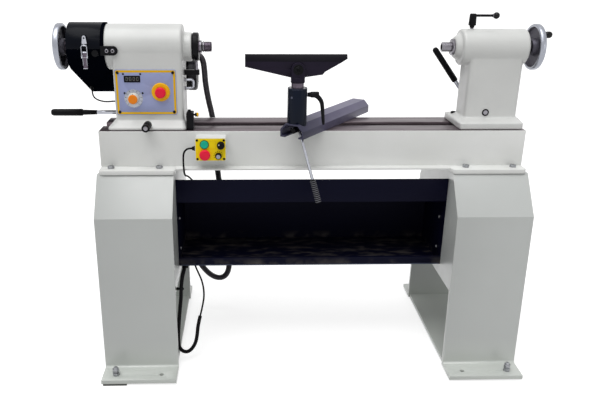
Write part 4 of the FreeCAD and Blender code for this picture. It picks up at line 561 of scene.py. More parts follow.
INTERLOCK = [(-748, 150, 876), (-748, 150, 864), (-745, 146, 853), (-738, 137, 846.5),
             (-722, 117, 843), (-697, 87, 844), (-676, 61, 848.5), (-661, 45, 853),
             (-650.5, 38.5, 855), (-640, 38.5, 855)]


def route_curve(name, route, radius):
    """A smooth NURBS curve with the route's points as its control points."""
    data = bpy.data.curves.new(name, "CURVE")
    data.dimensions = "3D"
    data.resolution_u = 10
    data.bevel_depth = radius
    data.bevel_resolution = 5
    line = data.splines.new("NURBS")
    line.points.add(len(route) - 1)
    for point, (x, y, z) in zip(line.points, route):
        point.co = (x * MM, y * MM, z * MM, 1.0)
    line.order_u = 3
    line.use_endpoint_u = True
    return data


def centreline(route):
    """The route's smooth line as points, read from its own spline."""
    curve = placed("route", route_curve("route", route, 0.0))
    graph = bpy.context.evaluated_depsgraph_get()
    mesh = bpy.data.meshes.new_from_object(curve.evaluated_get(graph))
    points = [vertex.co.copy() for vertex in mesh.vertices]
    bpy.data.objects.remove(curve)
    return points


def spaced(points, step):
    """Points along a line at even steps, and the line's length."""
    lengths = [0.0]
    for a, b in zip(points, points[1:]):
        lengths.append(lengths[-1] + (b - a).length)
    count = max(2, round(lengths[-1] / step))
    found = []
    k = 0
    for i in range(count + 1):
        want = lengths[-1] * i / count
        while k < len(points) - 2 and lengths[k + 1] < want:
            k += 1
        share = (want - lengths[k]) / max(1e-9, lengths[k + 1] - lengths[k])
        found.append(points[k].lerp(points[k + 1], share))
    return found, lengths[-1]


def plain_cord(name, route, radius, node):
    data = route_curve(name, route, radius)
    data.use_fill_caps = True
    made = placed(name, data)
    data.materials.append(PAINT["cord_black"])
    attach(made, "frame")
    length = spaced(centreline(route), 0.002)[1]
    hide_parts(node)


def ribbed_cord(name, route, radius, pitch, depth, finish, node):
    """A corrugated hose: rings of a rounded rib along the route's smooth line."""
    per_rib = 4
    points, length = spaced(centreline(route), pitch / per_rib)
    radii = [radius - depth * (0.5 - 0.5 * math.cos(2 * math.pi * k / per_rib)) for k in range(len(points))]
    hose = Piece(name, "frame", "cord_rubber", (node,))
    hose.wire([point / MM for point in points], [reach / MM for reach in radii], finish, 20)
    made = hose.done(0, 40)


def make_cords():
    plain_cord("switch_lead", CABLE, 3.0 * MM, "switch_cable")
    plain_cord("interlock_lead", INTERLOCK, 2.5 * MM, "interlock_cable")
    ribbed_cord("lead_sleeve", SLEEVE, radius=6.5 * MM, pitch=3.2 * MM, depth=0.7 * MM, finish="cord_black",
                node="cable_sleeve")
    ribbed_cord("power_conduit", CONDUIT, radius=11.0 * MM, pitch=4.6 * MM, depth=1.3 * MM,
                finish="conduit_black", node="motor_conduit")


make_cords()


# --- Headstock --------------------------------------------------------------------------------
def soften(made, voxel, rounds):
    """Round all corners of a closed mesh, as casting and thick paint leave them."""
    skin = made.modifiers.new("skin", "REMESH")
    skin.mode = "VOXEL"
    skin.voxel_size = voxel * MM
    skin.use_smooth_shade = True
    soft = made.modifiers.new("soft", "SMOOTH")
    soft.factor = 0.5
    soft.iterations = rounds


def head_casting():
    """Headstock casting: the node's own shape with soft corners."""
    made = placed("headstock_body", NODES["headstock_casting"].data.copy())
    made.data.materials.clear()
    made.data.materials.append(PAINT["cast_cream"])
    soften(made, voxel=2.6, rounds=9)
    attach(made, "frame")
    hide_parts("headstock_casting")


def rounded_box_ring(x0, x1, half, radius, z):
    """A level ring round a box from x0 to x1 and half to each side."""
    points = []
    for x, y, start in ((x1, half, 0), (x0, half, 90), (x0, -half, 180), (x1, -half, 270)):
        cx = x - radius if x == x1 else x + radius
        cy = y - radius if y > 0 else y + radius
        points += [(px, py, z) for px, _, py in arc(cx, 0, cy, radius, start, start + 90, CORNER_STEPS)]
    return points


def tail_casting():
    """Tailstock casting: barrel with its nose cone, overhanging column and flared foot."""
    made = Piece("tailstock_body", "tailstock", "cream_paint", ("tailstock_casting",))
    low, high = NODE_MM["tailstock_casting"]
    barrel, column_half, skirt_half, foot_half = 57.0, 49, 54, 90
    nose, end = low.x, high.x
    length, front = end - nose, nose + 18
    made.turned([(0, 0), (0, 31), (18, 44), (18, barrel - 5), (23, barrel), (length - 5, barrel),
                 (length, barrel - 5), (length, 0)], (nose, 0, AXIS), X, "cast_cream", 96)
    column = (front + 25, end - 13)
    middle_x, base = sum(column) / 2, low.z + 30
    made.rings([[(middle_x, 0, base - 6)], rounded_box_ring(*column, column_half, 14, base - 6),
                rounded_box_ring(*column, column_half, 14, AXIS), [(middle_x, 0, AXIS)]], "cast_cream")
    foot, skirt = (front + 2, end - 4), (column[0] - 5, column[1] + 5)
    made.rings([[(middle_x, 0, low.z)], rounded_box_ring(*foot, foot_half, 8, low.z),
                rounded_box_ring(*foot, foot_half, 8, base - 9),
                rounded_box_ring(*skirt, skirt_half, 14, base), [(middle_x, 0, base)]], "cast_cream")
    soften(made.done(0), voxel=2.4, rounds=7)


def handwheel(name, body, outer_x, side, node):
    """Handwheel whose disc lies at outer_x and whose dish opens towards side."""
    made = Piece(name, body, "wheel_alloy", (node,))
    low, high = NODE_MM[node]
    r = (high.z - low.z) / 2
    width, hub_end = 19.0, 23.0
    bore = 8.0 if side < 0 else 20.0
    place = (outer_x, 0, AXIS)
    made.turned([(0, bore), (0, 30), (1.2, 34), (1.2, r - 16), (0, r - 12), (0, r - 4), (1.2, r - 1.5),
                 (4, r), (width - 4, r), (width - 1.2, r - 1.5), (width, r - 3.5), (width, r - 7.5),
                 (width - 1, r - 9)], place, X * side, "turned_alloy", 96)
    made.turned([(width - 1, r - 9), (9.5, r - 12.5), (7.6, r - 16), (7.0, 34), (9.0, 28)], place, X * side,
                "alloy_cast", 96)
    made.turned([(9.0, 28), (hub_end - 3, 25.5), (hub_end, 23.5), (hub_end, bore)], place, X * side,
                "alloy_cast", 64)
    made.done(0.3)


def spindle_piece():
    """Spindle with its flange, grooves, threaded nose and taper mouth; the grooves and the bore are black as
    painted shade.
    """
    made = Piece("spindle_turned", "spindle_set", "steel", ("spindle",))
    low, high = NODE_MM["spindle"]
    tip, start = high.x, low.x
    groove, body, crest, root = 14.4, 20, 16.5, 14.6
    made.turned([(0, 8), (0, 18.5), (1.5, body), (tip - 38 - start, body), (tip - 36 - start, 19)],
                (start, 0, AXIS), X, "dark_steel")
    flange = [(-38, 18.6), (-37.2, body), (-35.4, body), (-34.9, 19.0), (-34.3, 19.0), (-33.8, body),
              (-32.2, body), (-31.4, 19)]
    made.turned(flange, (tip, 0, AXIS), X, "turned_steel", 64)
    # Black in the grooves on either side of the ring: painted shade in the recesses.
    made.turned([(-31.4, 19), (-31, groove), (-27.4, groove)], (tip, 0, AXIS), X, "black_steel", 64)
    made.turned([(-27.4, groove), (-27.2, 17.2), (-24.6, 17.2), (-24.4, groove)], (tip, 0, AXIS), X,
                "turned_steel", 64)
    made.turned([(-24.4, groove), (-22.2, groove), (-22, 15.2)], (tip, 0, AXIS), X, "black_steel", 64)
    pitch, turn = 3.5, -22.0
    nose = [(-22, 15.2)]
    while turn + pitch < -2.2:
        nose += [(turn + 0.3, crest), (turn + 1.5, crest), (turn + 2.2, root), (turn + 3.1, root)]
        turn += pitch
    nose += [(-2.2, 16.3), (-0.4, 14.8), (0, groove), (0, 12.2), (-1.0, 11.7)]
    made.turned(nose, (tip, 0, AXIS), X, "dark_steel", 64)
    # Black inside the taper's bore: painted shade in the hole.
    made.turned([(-1.0, 11.7), (-60, 10.2), (-60, 8)], (tip, 0, AXIS), X, "black_steel", 48)
    made.done(0)


def control_face():
    """The panel's border line, screws, display, dial and the stop button's collar."""
    low, high = NODE_MM["control_panel"]
    centre = middle("control_panel")
    width, height = high.x - low.x, high.z - low.z
    y = low.y
    rim = Piece("panel_border", "frame", "panel_print")
    outer = rounded_plate(centre.x, centre.z, width - 4, height - 4, 6, y)
    inner = rounded_plate(centre.x, centre.z, width - 17, height - 17, 4, y)
    rim.frame(outer, inner, (0, -0.25, 0), "panel_ochre")
    rim.done(0)
    face = Piece("panel_details", "frame", "panel_print", ("panel_fittings",))
    for place in corners(centre, width / 2 - 9, height / 2 - 9, y):
        socket_screw(face, place, -Y, 4.5, 2.5, "black_steel", 3.0)
    shown_x, shown_z, proud = -568.0, 946.0, 1.3
    for x, z in ((shown_x - 27, 961), (shown_x + 26, 961), (-594, 902), (-538, 902)):
        face.turned([(0, 0), (0, 3.2), (0.7, 3.0), (1.2, 1.6), (1.2, 0)], (x, y, z), -Y, "black_steel", 20)
    face.slab(rounded_plate(shown_x, shown_z, 50, 20, 1.5, y), (0, -proud, 0), "display_black")
    face.frame(rounded_plate(shown_x, shown_z, 50, 20, 1.5, y - proud),
               rounded_plate(shown_x, shown_z, 46.5, 16.5, 1.0, y - proud), (0, -0.6, 0), "black_plastic")
    for k in range(4):
        display_digit(face, shown_x - 16.5 + 11 * k, shown_z, y - proud)
    dial = middle("speed_knob")
    face.turned([(0, 4.4), (0, 29), (0.8, 28.6), (1.0, 28), (1.0, 4.4)], (dial.x, y, dial.z), -Y,
                "turned_alloy", 64, closed=True)
    scale_marks(face, dial, y - 1.0, 225, 27, 11, (22.5, 0.6), (27.2, 0.6), 0.15)
    stop = middle("estop_button")
    face.turned([(0, 9.4), (0, 29), (2.6, 28.6), (3.7, 27.4), (4.0, 26), (4.0, 17.6), (2.8, 16.6),
                 (2.8, 9.4)], (stop.x, y, stop.z), -Y, "yellow_collar", 64, closed=True)
    face.done(0.12, 40)


def scale_marks(piece, centre, y, start, step, count, inner, outer, depth):
    """Marks round a dial, from a start angle clockwise; inner and outer are (radius, half a width)."""
    (r0, w0), (r1, w1) = inner, outer
    for k in range(count):
        angle = math.radians(start - step * k)
        dx, dz = math.cos(angle), math.sin(angle)
        mark = [(centre.x + dx * r - dz * w, y, centre.z + dz * r + dx * w)
                for r, w in ((r0, -w0), (r1, -w1), (r1, w1), (r0, w0))]
        piece.slab(mark, (0, -depth, 0), "black_plastic")


def display_digit(face, x, z, y):
    """A nought of six segments on the display."""
    w, h, t = 2.9, 5.6, 0.75
    bars = [((-w + t, h - t), (w - t, h)), ((-w + t, -h), (w - t, -h + t)),
            ((-w, 0.3), (-w + t, h - t)), ((w - t, 0.3), (w, h - t)),
            ((-w, -h + t), (-w + t, -0.3)), ((w - t, -h + t), (w, -0.3))]
    for (x0, z0), (x1, z1) in bars:
        face.block((x + x0, y - 0.2, z + z0), (x + x1, y, z + z1), "digit_grey")


def stop_mushroom(name, body, node, finish, head_r, stem_r, face_y, lift, head_t, slot):
    """Push button: plain stem, rounded rim and a slightly domed face."""
    at = middle(node)
    back = NODE_MM[node][1].y
    base = back - face_y + lift
    edge, dome = head_t / 2, 4.5
    made = Piece(name, body, slot, (node,))
    profile = [(0, 0), (0, stem_r), (base, stem_r), (base, head_r - 1.2), (base + 0.8, head_r - 0.2),
               (base + 1.6, head_r)]
    for k in range(7):
        angle = math.radians(90 * k / 6)
        profile.append((base + head_t - edge + edge * math.sin(angle),
                        head_r - dome + dome * math.cos(angle)))
    profile.append((base + head_t, 0))
    made.turned(profile, (at.x, back, at.z), -Y, finish, 64)
    made.done(0)


def speed_knob():
    """Pale skirted knob with an orange cap."""
    at = middle("speed_knob")
    low, high = NODE_MM["speed_knob"]
    made = Piece("speed_dial_knob", "speed_dial", "orange_plastic", ("speed_knob",))
    total = high.y - low.y
    foot = high.y - (PANEL_FRONT - 1.3)
    made.turned([(0, 0), (0, 4), (foot, 4), (foot, 17.5), (foot + 1, 19), (foot + 3, 19), (foot + 6, 18.2),
                 (total - 5, 17), (total - 3.4, 16.2), (total - 3, 14.6)],
                (at.x, high.y, at.z), -Y, "ivory_skirt", 80, 20, 0.35)
    made.turned([(total - 3, 14.6), (total - 1.4, 14.4), (total - 0.3, 13.4), (total, 11.5), (total, 0)],
                (at.x, high.y, at.z), -Y, "orange_cap", 80)
    made.block((at.x - 0.8, low.y + 2.4, at.z + 14.2), (at.x + 0.8, low.y + 3.4, at.z + 16.4),
               "black_plastic")
    made.done(0.2, 40)


def index_knob():
    """Knurled pull knob with a bright pin in its end."""
    at = middle("index_knob")
    low, high = NODE_MM["index_knob"]
    made = Piece("index_pull_knob", "index_pull", "black_steel", ("index_knob",))
    total = high.y - low.y
    neck = high.y + 93.3
    place = (at.x, high.y, at.z)
    made.turned([(0, 0), (0, 5), (neck, 5), (neck, 11.2), (neck + 1.5, 12.4), (neck + 6, 12.4),
                 (neck + 7, 11)], place, -Y, "black_steel", 48)
    made.turned([(neck + 7, 11), (neck + 8, 12.5), (total - 10, 12.5), (total - 9, 11.6)], place, -Y,
                "black_steel", 120, 30, 0.7)
    made.turned([(total - 9, 11.6), (total - 8, 12.4), (total - 2, 12.4), (total - 0.5, 11.6),
                 (total, 10.4), (total, 7.2), (total - 1.2, 6.8)], place, -Y, "black_steel", 48)
    made.turned([(total - 1.2, 6.8), (total - 0.8, 5.6), (total - 0.4, 4.6), (total - 0.2, 0)], place, -Y,
                "turned_steel", 32)
    made.done(0.2, 45)


def ribbed(start, end, radius, depth, pitch):
    """Profile of rounded ribs round a grip, from one distance to another."""
    points = []
    steps = max(1, round((end - start) / pitch)) * 4
    for k in range(steps + 1):
        share = k / steps
        dip = depth * (0.5 - 0.5 * math.cos(2 * math.pi * share * steps / 4))
        points.append((start + (end - start) * share, radius - dip))
    return points


def hand_lever(name, body, node, pivot, angle, length, grip_l, grip_r, neck, front):
    """Clamp lever: cross shaft, hub, bright rod and plastic grip, with a black neck of some length."""
    way = Vector((math.cos(math.radians(angle)), 0, math.sin(math.radians(angle))))
    x, y, z = pivot
    made = Piece(name, body, "black_steel", (node,))
    made.rod((x, front, z), (x, y + 8, z), 8.0, "turned_steel", 1.0, 40)
    made.turned([(0, 8), (0, 11.5), (1.6, 10.8), (1.6, 8)], (x, front + 1.2, z), -Y, "black_steel", 40,
                closed=True)
    made.turned([(0, 8), (0, 12.5), (1.5, 14), (18.5, 14), (20, 12.5), (20, 8)], (x, y - 10, z), Y,
                "chrome", 48)
    low = length - grip_l
    made.rod(Vector(pivot) + way * 6, Vector(pivot) + way * (low - neck + 12), 7.0, "chrome", 0.6, 32)
    if neck:
        made.turned([(low - neck, 0), (low - neck, 6.8), (low - neck + 1, 7.5), (low - 2, 9), (low, 9)],
                    pivot, way, "black_plastic", 40)
    body_profile = [(low, 8.5), (low, grip_r - 1), (low + 1.5, grip_r)]
    body_profile += [(length - 6, grip_r - 0.3), (length - 1, grip_r - 2), (length + 2, grip_r - 5),
                     (length + 3, 0)]
    made.turned(body_profile, pivot, way, "black_plastic", 80, 20, 0.5)
    made.done(0.25, 45)


def latch_pieces():
    """Draw latch: flanged lever plate, wire ring and a keeper plate with a hole on the cover."""
    low, high = NODE_MM["latch_lever"]
    x, pivot_y, pivot_z = -704.0, -83.0, 1027.0
    pin_y, pin_z = -89.2, 1013.0
    lever = Piece("latch_plate", "latch", "chrome", ("latch_lever",))
    half = 6.5
    lever.rod((x - half, pivot_y, pivot_z), (x + half, pivot_y, pivot_z), 3.5, "chrome")
    front, back = pivot_y - 3.4, pivot_y - 1.8
    lever.block((x - half, front, low.z + 2), (x + half, back, pivot_z), "dark_steel")
    for side in (-1, 1):
        edge = x + side * (half - 0.7)
        lever.block((edge - 0.7, front - 3.4, low.z + 10), (edge + 0.7, back, pivot_z - 6), "chrome")
    lever.block((x - half, low.y + 0.2, low.z + 0.2), (x + half, back, low.z + 2), "chrome")
    lever.rod((low.x, pin_y, pin_z), (high.x, pin_y, pin_z), 1.2, "turned_steel")
    lever.done(0.35, 40)

    high = NODE_MM["latch_bail"][1]
    ring = Piece("latch_wire", "latch_ring", "chrome", ("latch_bail",))
    reach, wire_r, arch = 8.6, 1.25, 7
    top = high.z - 1.3 - arch
    for side in (-1, 1):
        ring.turned([(0, 1.4), (0, 2.6), (2.2, 2.6), (2.2, 1.4)], (x + side * reach - 1.1, pin_y, pin_z), X,
                    "chrome", 24, closed=True)
    points = []
    steps = 14
    for k in range(steps + 1):
        angle = math.pi * k / steps
        points.append((x + reach * math.cos(angle), pin_y, top + arch * math.sin(angle)))
    points = [(x + reach, pin_y, pin_z)] + points + [(x - reach, pin_y, pin_z)]
    ring.wire(points, wire_r, "chrome", 14)
    ring.done(0)

    keeper = Piece("latch_keeper", "guard_cover", "chrome")
    skin = -79.0
    outline = [(x - 6, skin, 1046), (x + 6, skin, 1046), (x + 7.5, skin, 1056), (x + 5.5, skin, 1070)]
    outline += arc(x, skin, 1072, 5.4, 10, 170, 8)
    outline += [(x - 5.5, skin, 1070), (x - 7.5, skin, 1056)]
    keeper.slab(outline, (0, -1.2, 0), "chrome")
    keeper.turned([(0, 0), (0, 2.8), (0.25, 2.6), (0.25, 0)], (x, skin - 1.2, 1070), -Y, "black_plastic",
                  24)
    keeper.done(0.3, 40)


def guard_screws():
    """Socket screws on the strap and the dished round screw beside it."""
    made = Piece("strap_screws", "frame", "steel")
    for x in (-638.0, -620.0):
        socket_screw(made, (x, -79, 1032), -Y, 6.0, 4.6, "turned_steel", 5.0)
    made.turned([(0, 0), (0, 10.4), (8.5, 10.4), (10.2, 9.2), (11.2, 7.6), (10.4, 6.4), (9.6, 0)],
                (-673, -76, 1025), -Y, "black_steel", 72, 24, 0.5)
    made.done(0.25, 40)


def neck_hardware():
    """Bright bail on the neck, and the locking pin on its dark bracket."""
    made = Piece("neck_hardware", "frame", "chrome", ("headstock_hardware",))
    low, high = 905.0, 932.0
    wall, out, bend = -412.0, -385.0, 8.0
    points = [(wall, 0, low)] + arc(out - bend, 0, low + bend, bend, -90, 0, 8)
    points += arc(out - bend, 0, high - bend, bend, 0, 90, 8) + [(wall, 0, high)]
    made.wire(points, 4.0, "chrome", 20)
    for z in (low, high):
        made.turned([(0, 0), (0, 7), (2, 7), (3, 5.6), (3, 0)], (wall, 0, z), X, "turned_steel", 32)
    made.block((wall, -9, 948), (-364, 9, 964), "black_steel")
    made.turned([(0, 0), (0, 6.4), (5, 6.4), (6, 5), (26, 5), (27, 4.2), (27, 0)], (-373, 0, 964), Z,
                "turned_steel", 32)
    made.done(0.5, 40)


def stop_screw():
    """Bright tip of the stop block's thumb screw."""
    made = Piece("stop_screw_tip", "frame", "black_steel")
    made.turned([(-3, 6.0), (-3, 6.9), (0.6, 6.9), (1.6, 6.2), (2.2, 4.6), (2.2, 0)], (-368.2, -66, 832), X,
                "yellow_collar", 32)
    made.done(0.2, 40)


def motor_piece():
    """Motor with cooling ribs, end bells, bolts in its end face and a lidded terminal box."""
    made = Piece("motor_ribbed", "frame", "motor_iron", ("motor",))
    y, z = 231.0, 913.0
    x0, x1 = NODE_MM["motor"][0].x, -388.0
    place = (x0, y, z)
    length = x1 - x0
    made.turned([(0, 9.6), (0, 58.5), (1.5, 60), (11, 60), (12, 59), (12, 50), (length - 30, 50),
                 (length - 30, 55), (length - 29, 56), (length - 8, 56), (length - 2, 52), (length, 47),
                 (length, 30), (length - 1.5, 28), (length - 1.5, 0)], place, X, "motor_black", 96)
    ribs = 36
    for k in range(ribs):
        angle = 2 * math.pi * (k + 0.5) / ribs
        up = Vector((0, math.cos(angle), math.sin(angle)))
        across = Vector((0, -math.sin(angle), math.cos(angle))) * 1.1
        foot, tip = Vector(place) + up * 49, Vector(place) + up * 54
        outline = [foot - across, foot + across, tip + across * 0.7, tip - across * 0.7]
        made.slab([point + X * 14 for point in outline], (length - 45, 0, 0), "motor_black")
    tx, tz = -407.0, 990.0
    left, right, near, far = tx - 116, tx - 16, 156, 251
    for grow, base, height in ((0, 943, 60), (1.5, 1006, 5.5)):
        outline = [(left - grow, near - grow, base), (right + grow, near - grow, base),
                   (right + grow, far + grow, base), (left - grow, far + grow, base)]
        made.slab(outline, (0, 0, height), "motor_black")
    for x in (left + 8, right - 8):
        for side in (near + 8, far - 8):
            made.turned([(0, 0), (0, 3.4), (1.2, 3.0), (1.4, 0)], (x, side, 1011.5), Z, "zinc", 20)
    made.turned([(0, 0), (0, 15), (6, 15), (6, 13), (16, 12.4), (17, 11.6), (17, 0)], (tx - 17, 200, tz), X,
                "black_plastic", 48, 12, 0.6)
    for turn in (45, 135, 225, 315):
        angle = math.radians(turn)
        made.turned([(0, 0), (0, 3.5), (2.4, 3.5), (2.8, 2.8), (2.8, 0)],
                    (x1 - 1.6, y + 41 * math.cos(angle), z + 41 * math.sin(angle)), X, "zinc", 6)
    made.done(0.5, 40)


# --- Switch box -------------------------------------------------------------------------------
def switch_face():
    """White case with a yellow plate, black screws, button bezels and scale marks."""
    low, high = NODE_MM["switch_box"]
    centre = (low + high) / 2
    width, height = high.x - low.x, high.z - low.z
    front = low.y + 1.0
    made = Piece("switch_case", "frame", "white_plastic", ("switch_box",))
    made.slab(rounded_plate(centre.x, centre.z, width, height, 6, front + 1.5),
              (0, high.y - front - 1.5, 0), "white_case")
    made.slab(rounded_plate(centre.x, centre.z, width - 4, height - 4, 5, front + 1.5), (0, -1.5, 0),
              "yellow_plate")
    for place in corners(centre, width / 2 - 7, height / 2 - 7, front):
        made.turned([(0, 0), (0, 3.9), (0.6, 3.7), (1.0, 2.8), (0.5, 0)], place, -Y, "black_steel", 20)
    x, z, w, h = -320.5, 754.0, 22.0, 26
    made.frame(rounded_plate(x, z, w, h, 3, front), rounded_plate(x, z, w - 1.6, h - 1.6, 2.4, front),
               (0, -0.3, 0), "panel_ochre")
    start, trim = middle("start_button"), middle("trim_knob")
    made.turned([(0, 12.3), (0, 14.4), (1.6, 14.2), (2.2, 13.2), (2.2, 12.3)], (start.x, front, start.z),
                -Y, "green_button", 48, closed=True)
    scale_marks(made, trim, front, 205, 26, 9, (12.2, 0.7), (15.0, 0.9), 0.2)
    made.done(0.3, 40)

    button = Piece("start_push", "start", "green_plastic", ("start_button",))
    low, high = NODE_MM["start_button"]
    total = high.y - low.y
    button.turned([(0, 0), (0, 12), (total - 2, 12), (total - 0.6, 11.2), (total, 9.6), (total - 0.5, 8.4),
                   (total - 0.7, 0)], (start.x, high.y, start.z), -Y, "start_green", 48)
    button.done(0)
    for name, body, node, radius, centre_finish in (("mode_rotary", "mode", "mode_knob", 12.5, None),
                                                    ("trim_rotary", "trim", "trim_knob", 10.5,
                                                     "alloy_centre")):
        rotary_knob(name, body, node, radius, centre_finish)


def rotary_knob(name, body, node, radius, centre_finish):
    """Fluted turning knob, with a pointer mark or a bright centre."""
    low, high = NODE_MM[node]
    at = (low + high) / 2
    made = Piece(name, body, "dark_plastic", (node,))
    total = high.y - low.y
    foot = 12.3
    made.turned([(0, 0), (0, 4), (foot, 4), (foot, radius), (foot + 4, radius), (total - 2, radius - 1.2),
                 (total - 0.5, radius - 2.2), (total, radius - 3.6), (total, 0)], (at.x, high.y, at.z), -Y,
                "black_plastic", 72, 18, 0.5)
    if centre_finish:
        made.turned([(total - 0.2, 0), (total - 0.2, 6.8), (total + 0.5, 6.4), (total + 0.7, 0)],
                    (at.x, high.y - 0.7, at.z), -Y, centre_finish, 40)
    else:
        made.block((at.x - 1.1, low.y + 0.3, at.z - 8), (at.x + 1.1, low.y + 1.2, at.z + 8),
                   "black_plastic")
        made.rod((at.x - 5.5, low.y + 0.8, at.z + 4), (at.x - 5.5, low.y - 0.2, at.z + 4), 2.2,
                 "white_case")
    made.done(0.2, 40)


# --- Banjo and tool rest ----------------------------------------------------------------------
BANJO_TURN = Matrix.Translation((BANJO_PIVOT, 0, 0)) @ Matrix.Rotation(math.radians(BANJO_TURN_DEG), 4, "Z")


def on_banjo(along, across, height):
    """A point given in mm along and across the banjo."""
    return BANJO_TURN @ Vector((along, across, height))


def banjo_handle():
    """Eccentric rod in the channel with its bright hanging lever and ribbed grip."""
    made = Piece("banjo_clamp_handle", "banjo_handle", "chrome", ("banjo_lever",))
    front, back, lever_s, height = -231.5, 248.5, -186.5, 807.3
    tilt = math.radians(18.7)
    made.rod(on_banjo(front + 8, 0, height), on_banjo(back - 10, 0, height), 9.0, "black_steel", 1.0, 40)

    def at(reach):
        return on_banjo(lever_s, -reach * math.sin(tilt), height - reach * math.cos(tilt))

    start, way = at(0), (at(1) - at(0))
    made.rod(at(6), at(172), 4.5, "chrome", 0.4, 24)
    first_rib, last_rib, pitch = 170, 236, 6.0
    grip = [(166, 0), (166, 7.2), (168, 8.6)] + ribbed(first_rib, last_rib, 9.4, 1.3, pitch)
    grip += [(239.5, 7.6), (241, 5), (241, 0)]
    made.turned(grip, start, way, "black_plastic", 40)
    for k in range(12):
        ring = first_rib + pitch * k
        made.turned([(ring - 1.2, 8.2), (ring - 0.9, 9.5), (ring + 0.9, 9.5), (ring + 1.2, 8.2)], start,
                    way, "grip_grey", 40, closed=True)
    made.done(0.25, 60)


def post_clamp():
    """Ratchet lever of the post: ribbed hub and a curved, tapering arm."""
    made = Piece("post_clamp_lever", "post_handle", "black_steel", ("post_lever",))
    low = NODE_MM["post_lever"][0]
    x0, y, z = low.x + 5.0, low.y + 9.0, 914.3
    made.rod((low.x, y, z), (x0 + 5, y, z), 5.0, "turned_steel")
    made.turned([(0.5, 0), (0.5, 5.6), (1.5, 6.2), (11, 8), (12, 8.8), (13, 9), (33, 9), (35.5, 7.6),
                 (36, 0)], (x0, y, z), X, "black_steel", 48, 12, 0.5)
    points, radii = [], []
    steps = 14
    for k in range(steps + 1):
        share = k / steps
        bend = 1 - (1 - min(1.0, share * 2.4)) ** 2
        points.append((x0 + 24 + 18 * bend + 10 * share, y, z - 2 - 90 * share ** 1.25))
        radii.append(7.4 - 2.9 * share)
    radii[-1] = 3.4
    made.wire(points, radii, "black_steel", 20)
    made.done(0.3, 45)


def post_rim():
    """Worn bright chamfer round the post's mouth, and its small grub screw."""
    x, y, top = POST_X, POST_Y, NODE_MM["banjo_post"][1].z
    made = Piece("post_rim", "banjo", "post_paint")
    made.turned([(-2.6, 29.3), (-2.6, 29.75), (-0.6, 28.4), (0.15, 27.2), (0.15, 26.4)], (x, y, top), Z,
                "rim_grey", 72, closed=True)
    angle = math.radians(232)
    way = Vector((math.cos(angle), math.sin(angle), 0))
    made.turned([(0, 0), (0, 3.4), (1.0, 3.0), (0.4, 1.6), (0.4, 0)], Vector((x, y, top - 26)) + way * 29.2,
                way, "rim_grey", 20)
    made.done(0)


def tray_hem():
    """Folded hem along the tray's front lip."""
    low, high = NODE_MM["chip_tray"]
    made = Piece("tray_hem", "frame", "tray_paint")
    # The hem is drawn in a lighter navy as a painted highlight on the lip's edge.
    made.rod((low.x + 3, low.y + 2.2, low.z + 2.6), (high.x - 3, low.y + 2.2, low.z + 2.6), 2.6, "hem_highlight_navy",
             1.0, 20)
    made.done(0)


def rest_stem():
    """Stem of the rest: bright shaft, iron shoulder, and the cheek with its socket bolt."""
    made = Piece("rest_stem_turned", "tool_rest", "rest_iron", ("rest_stem",))
    low, high = NODE_MM["rest_stem"]
    x, y = (low.x + high.x) / 2, POST_Y
    shoulder, eye, reach = 950.3, 990.0, 20.0
    made.turned([(0, 0), (0, 17.5), (1.5, 19), (shoulder - low.z, 19)], (x, y, low.z), Z, "dark_steel", 64)
    made.turned([(0, 19), (0, 20.4), (0.8, 21), (15, 21), (16, 20.2), (16, 0)], (x, y, shoulder), Z,
                "rest_iron", 64)
    outline = [(x - reach, y - 5, shoulder + 3), (x + reach, y - 5, shoulder + 3)]
    outline += arc(x, y - 5, eye, reach, 0, 180, 16)
    made.slab(outline, (0, -12, 0), "rest_iron")
    made.turned([(0, 0), (0, 15), (0.6, 15), (1.0, 14), (1.0, 0)], (x, y - 17, eye), -Y, "black_steel", 48)
    socket_screw(made, (x, y - 17.5, eye), -Y, 10.5, 5.4, "black_steel", 7.0)
    made.done(0.4, 40)


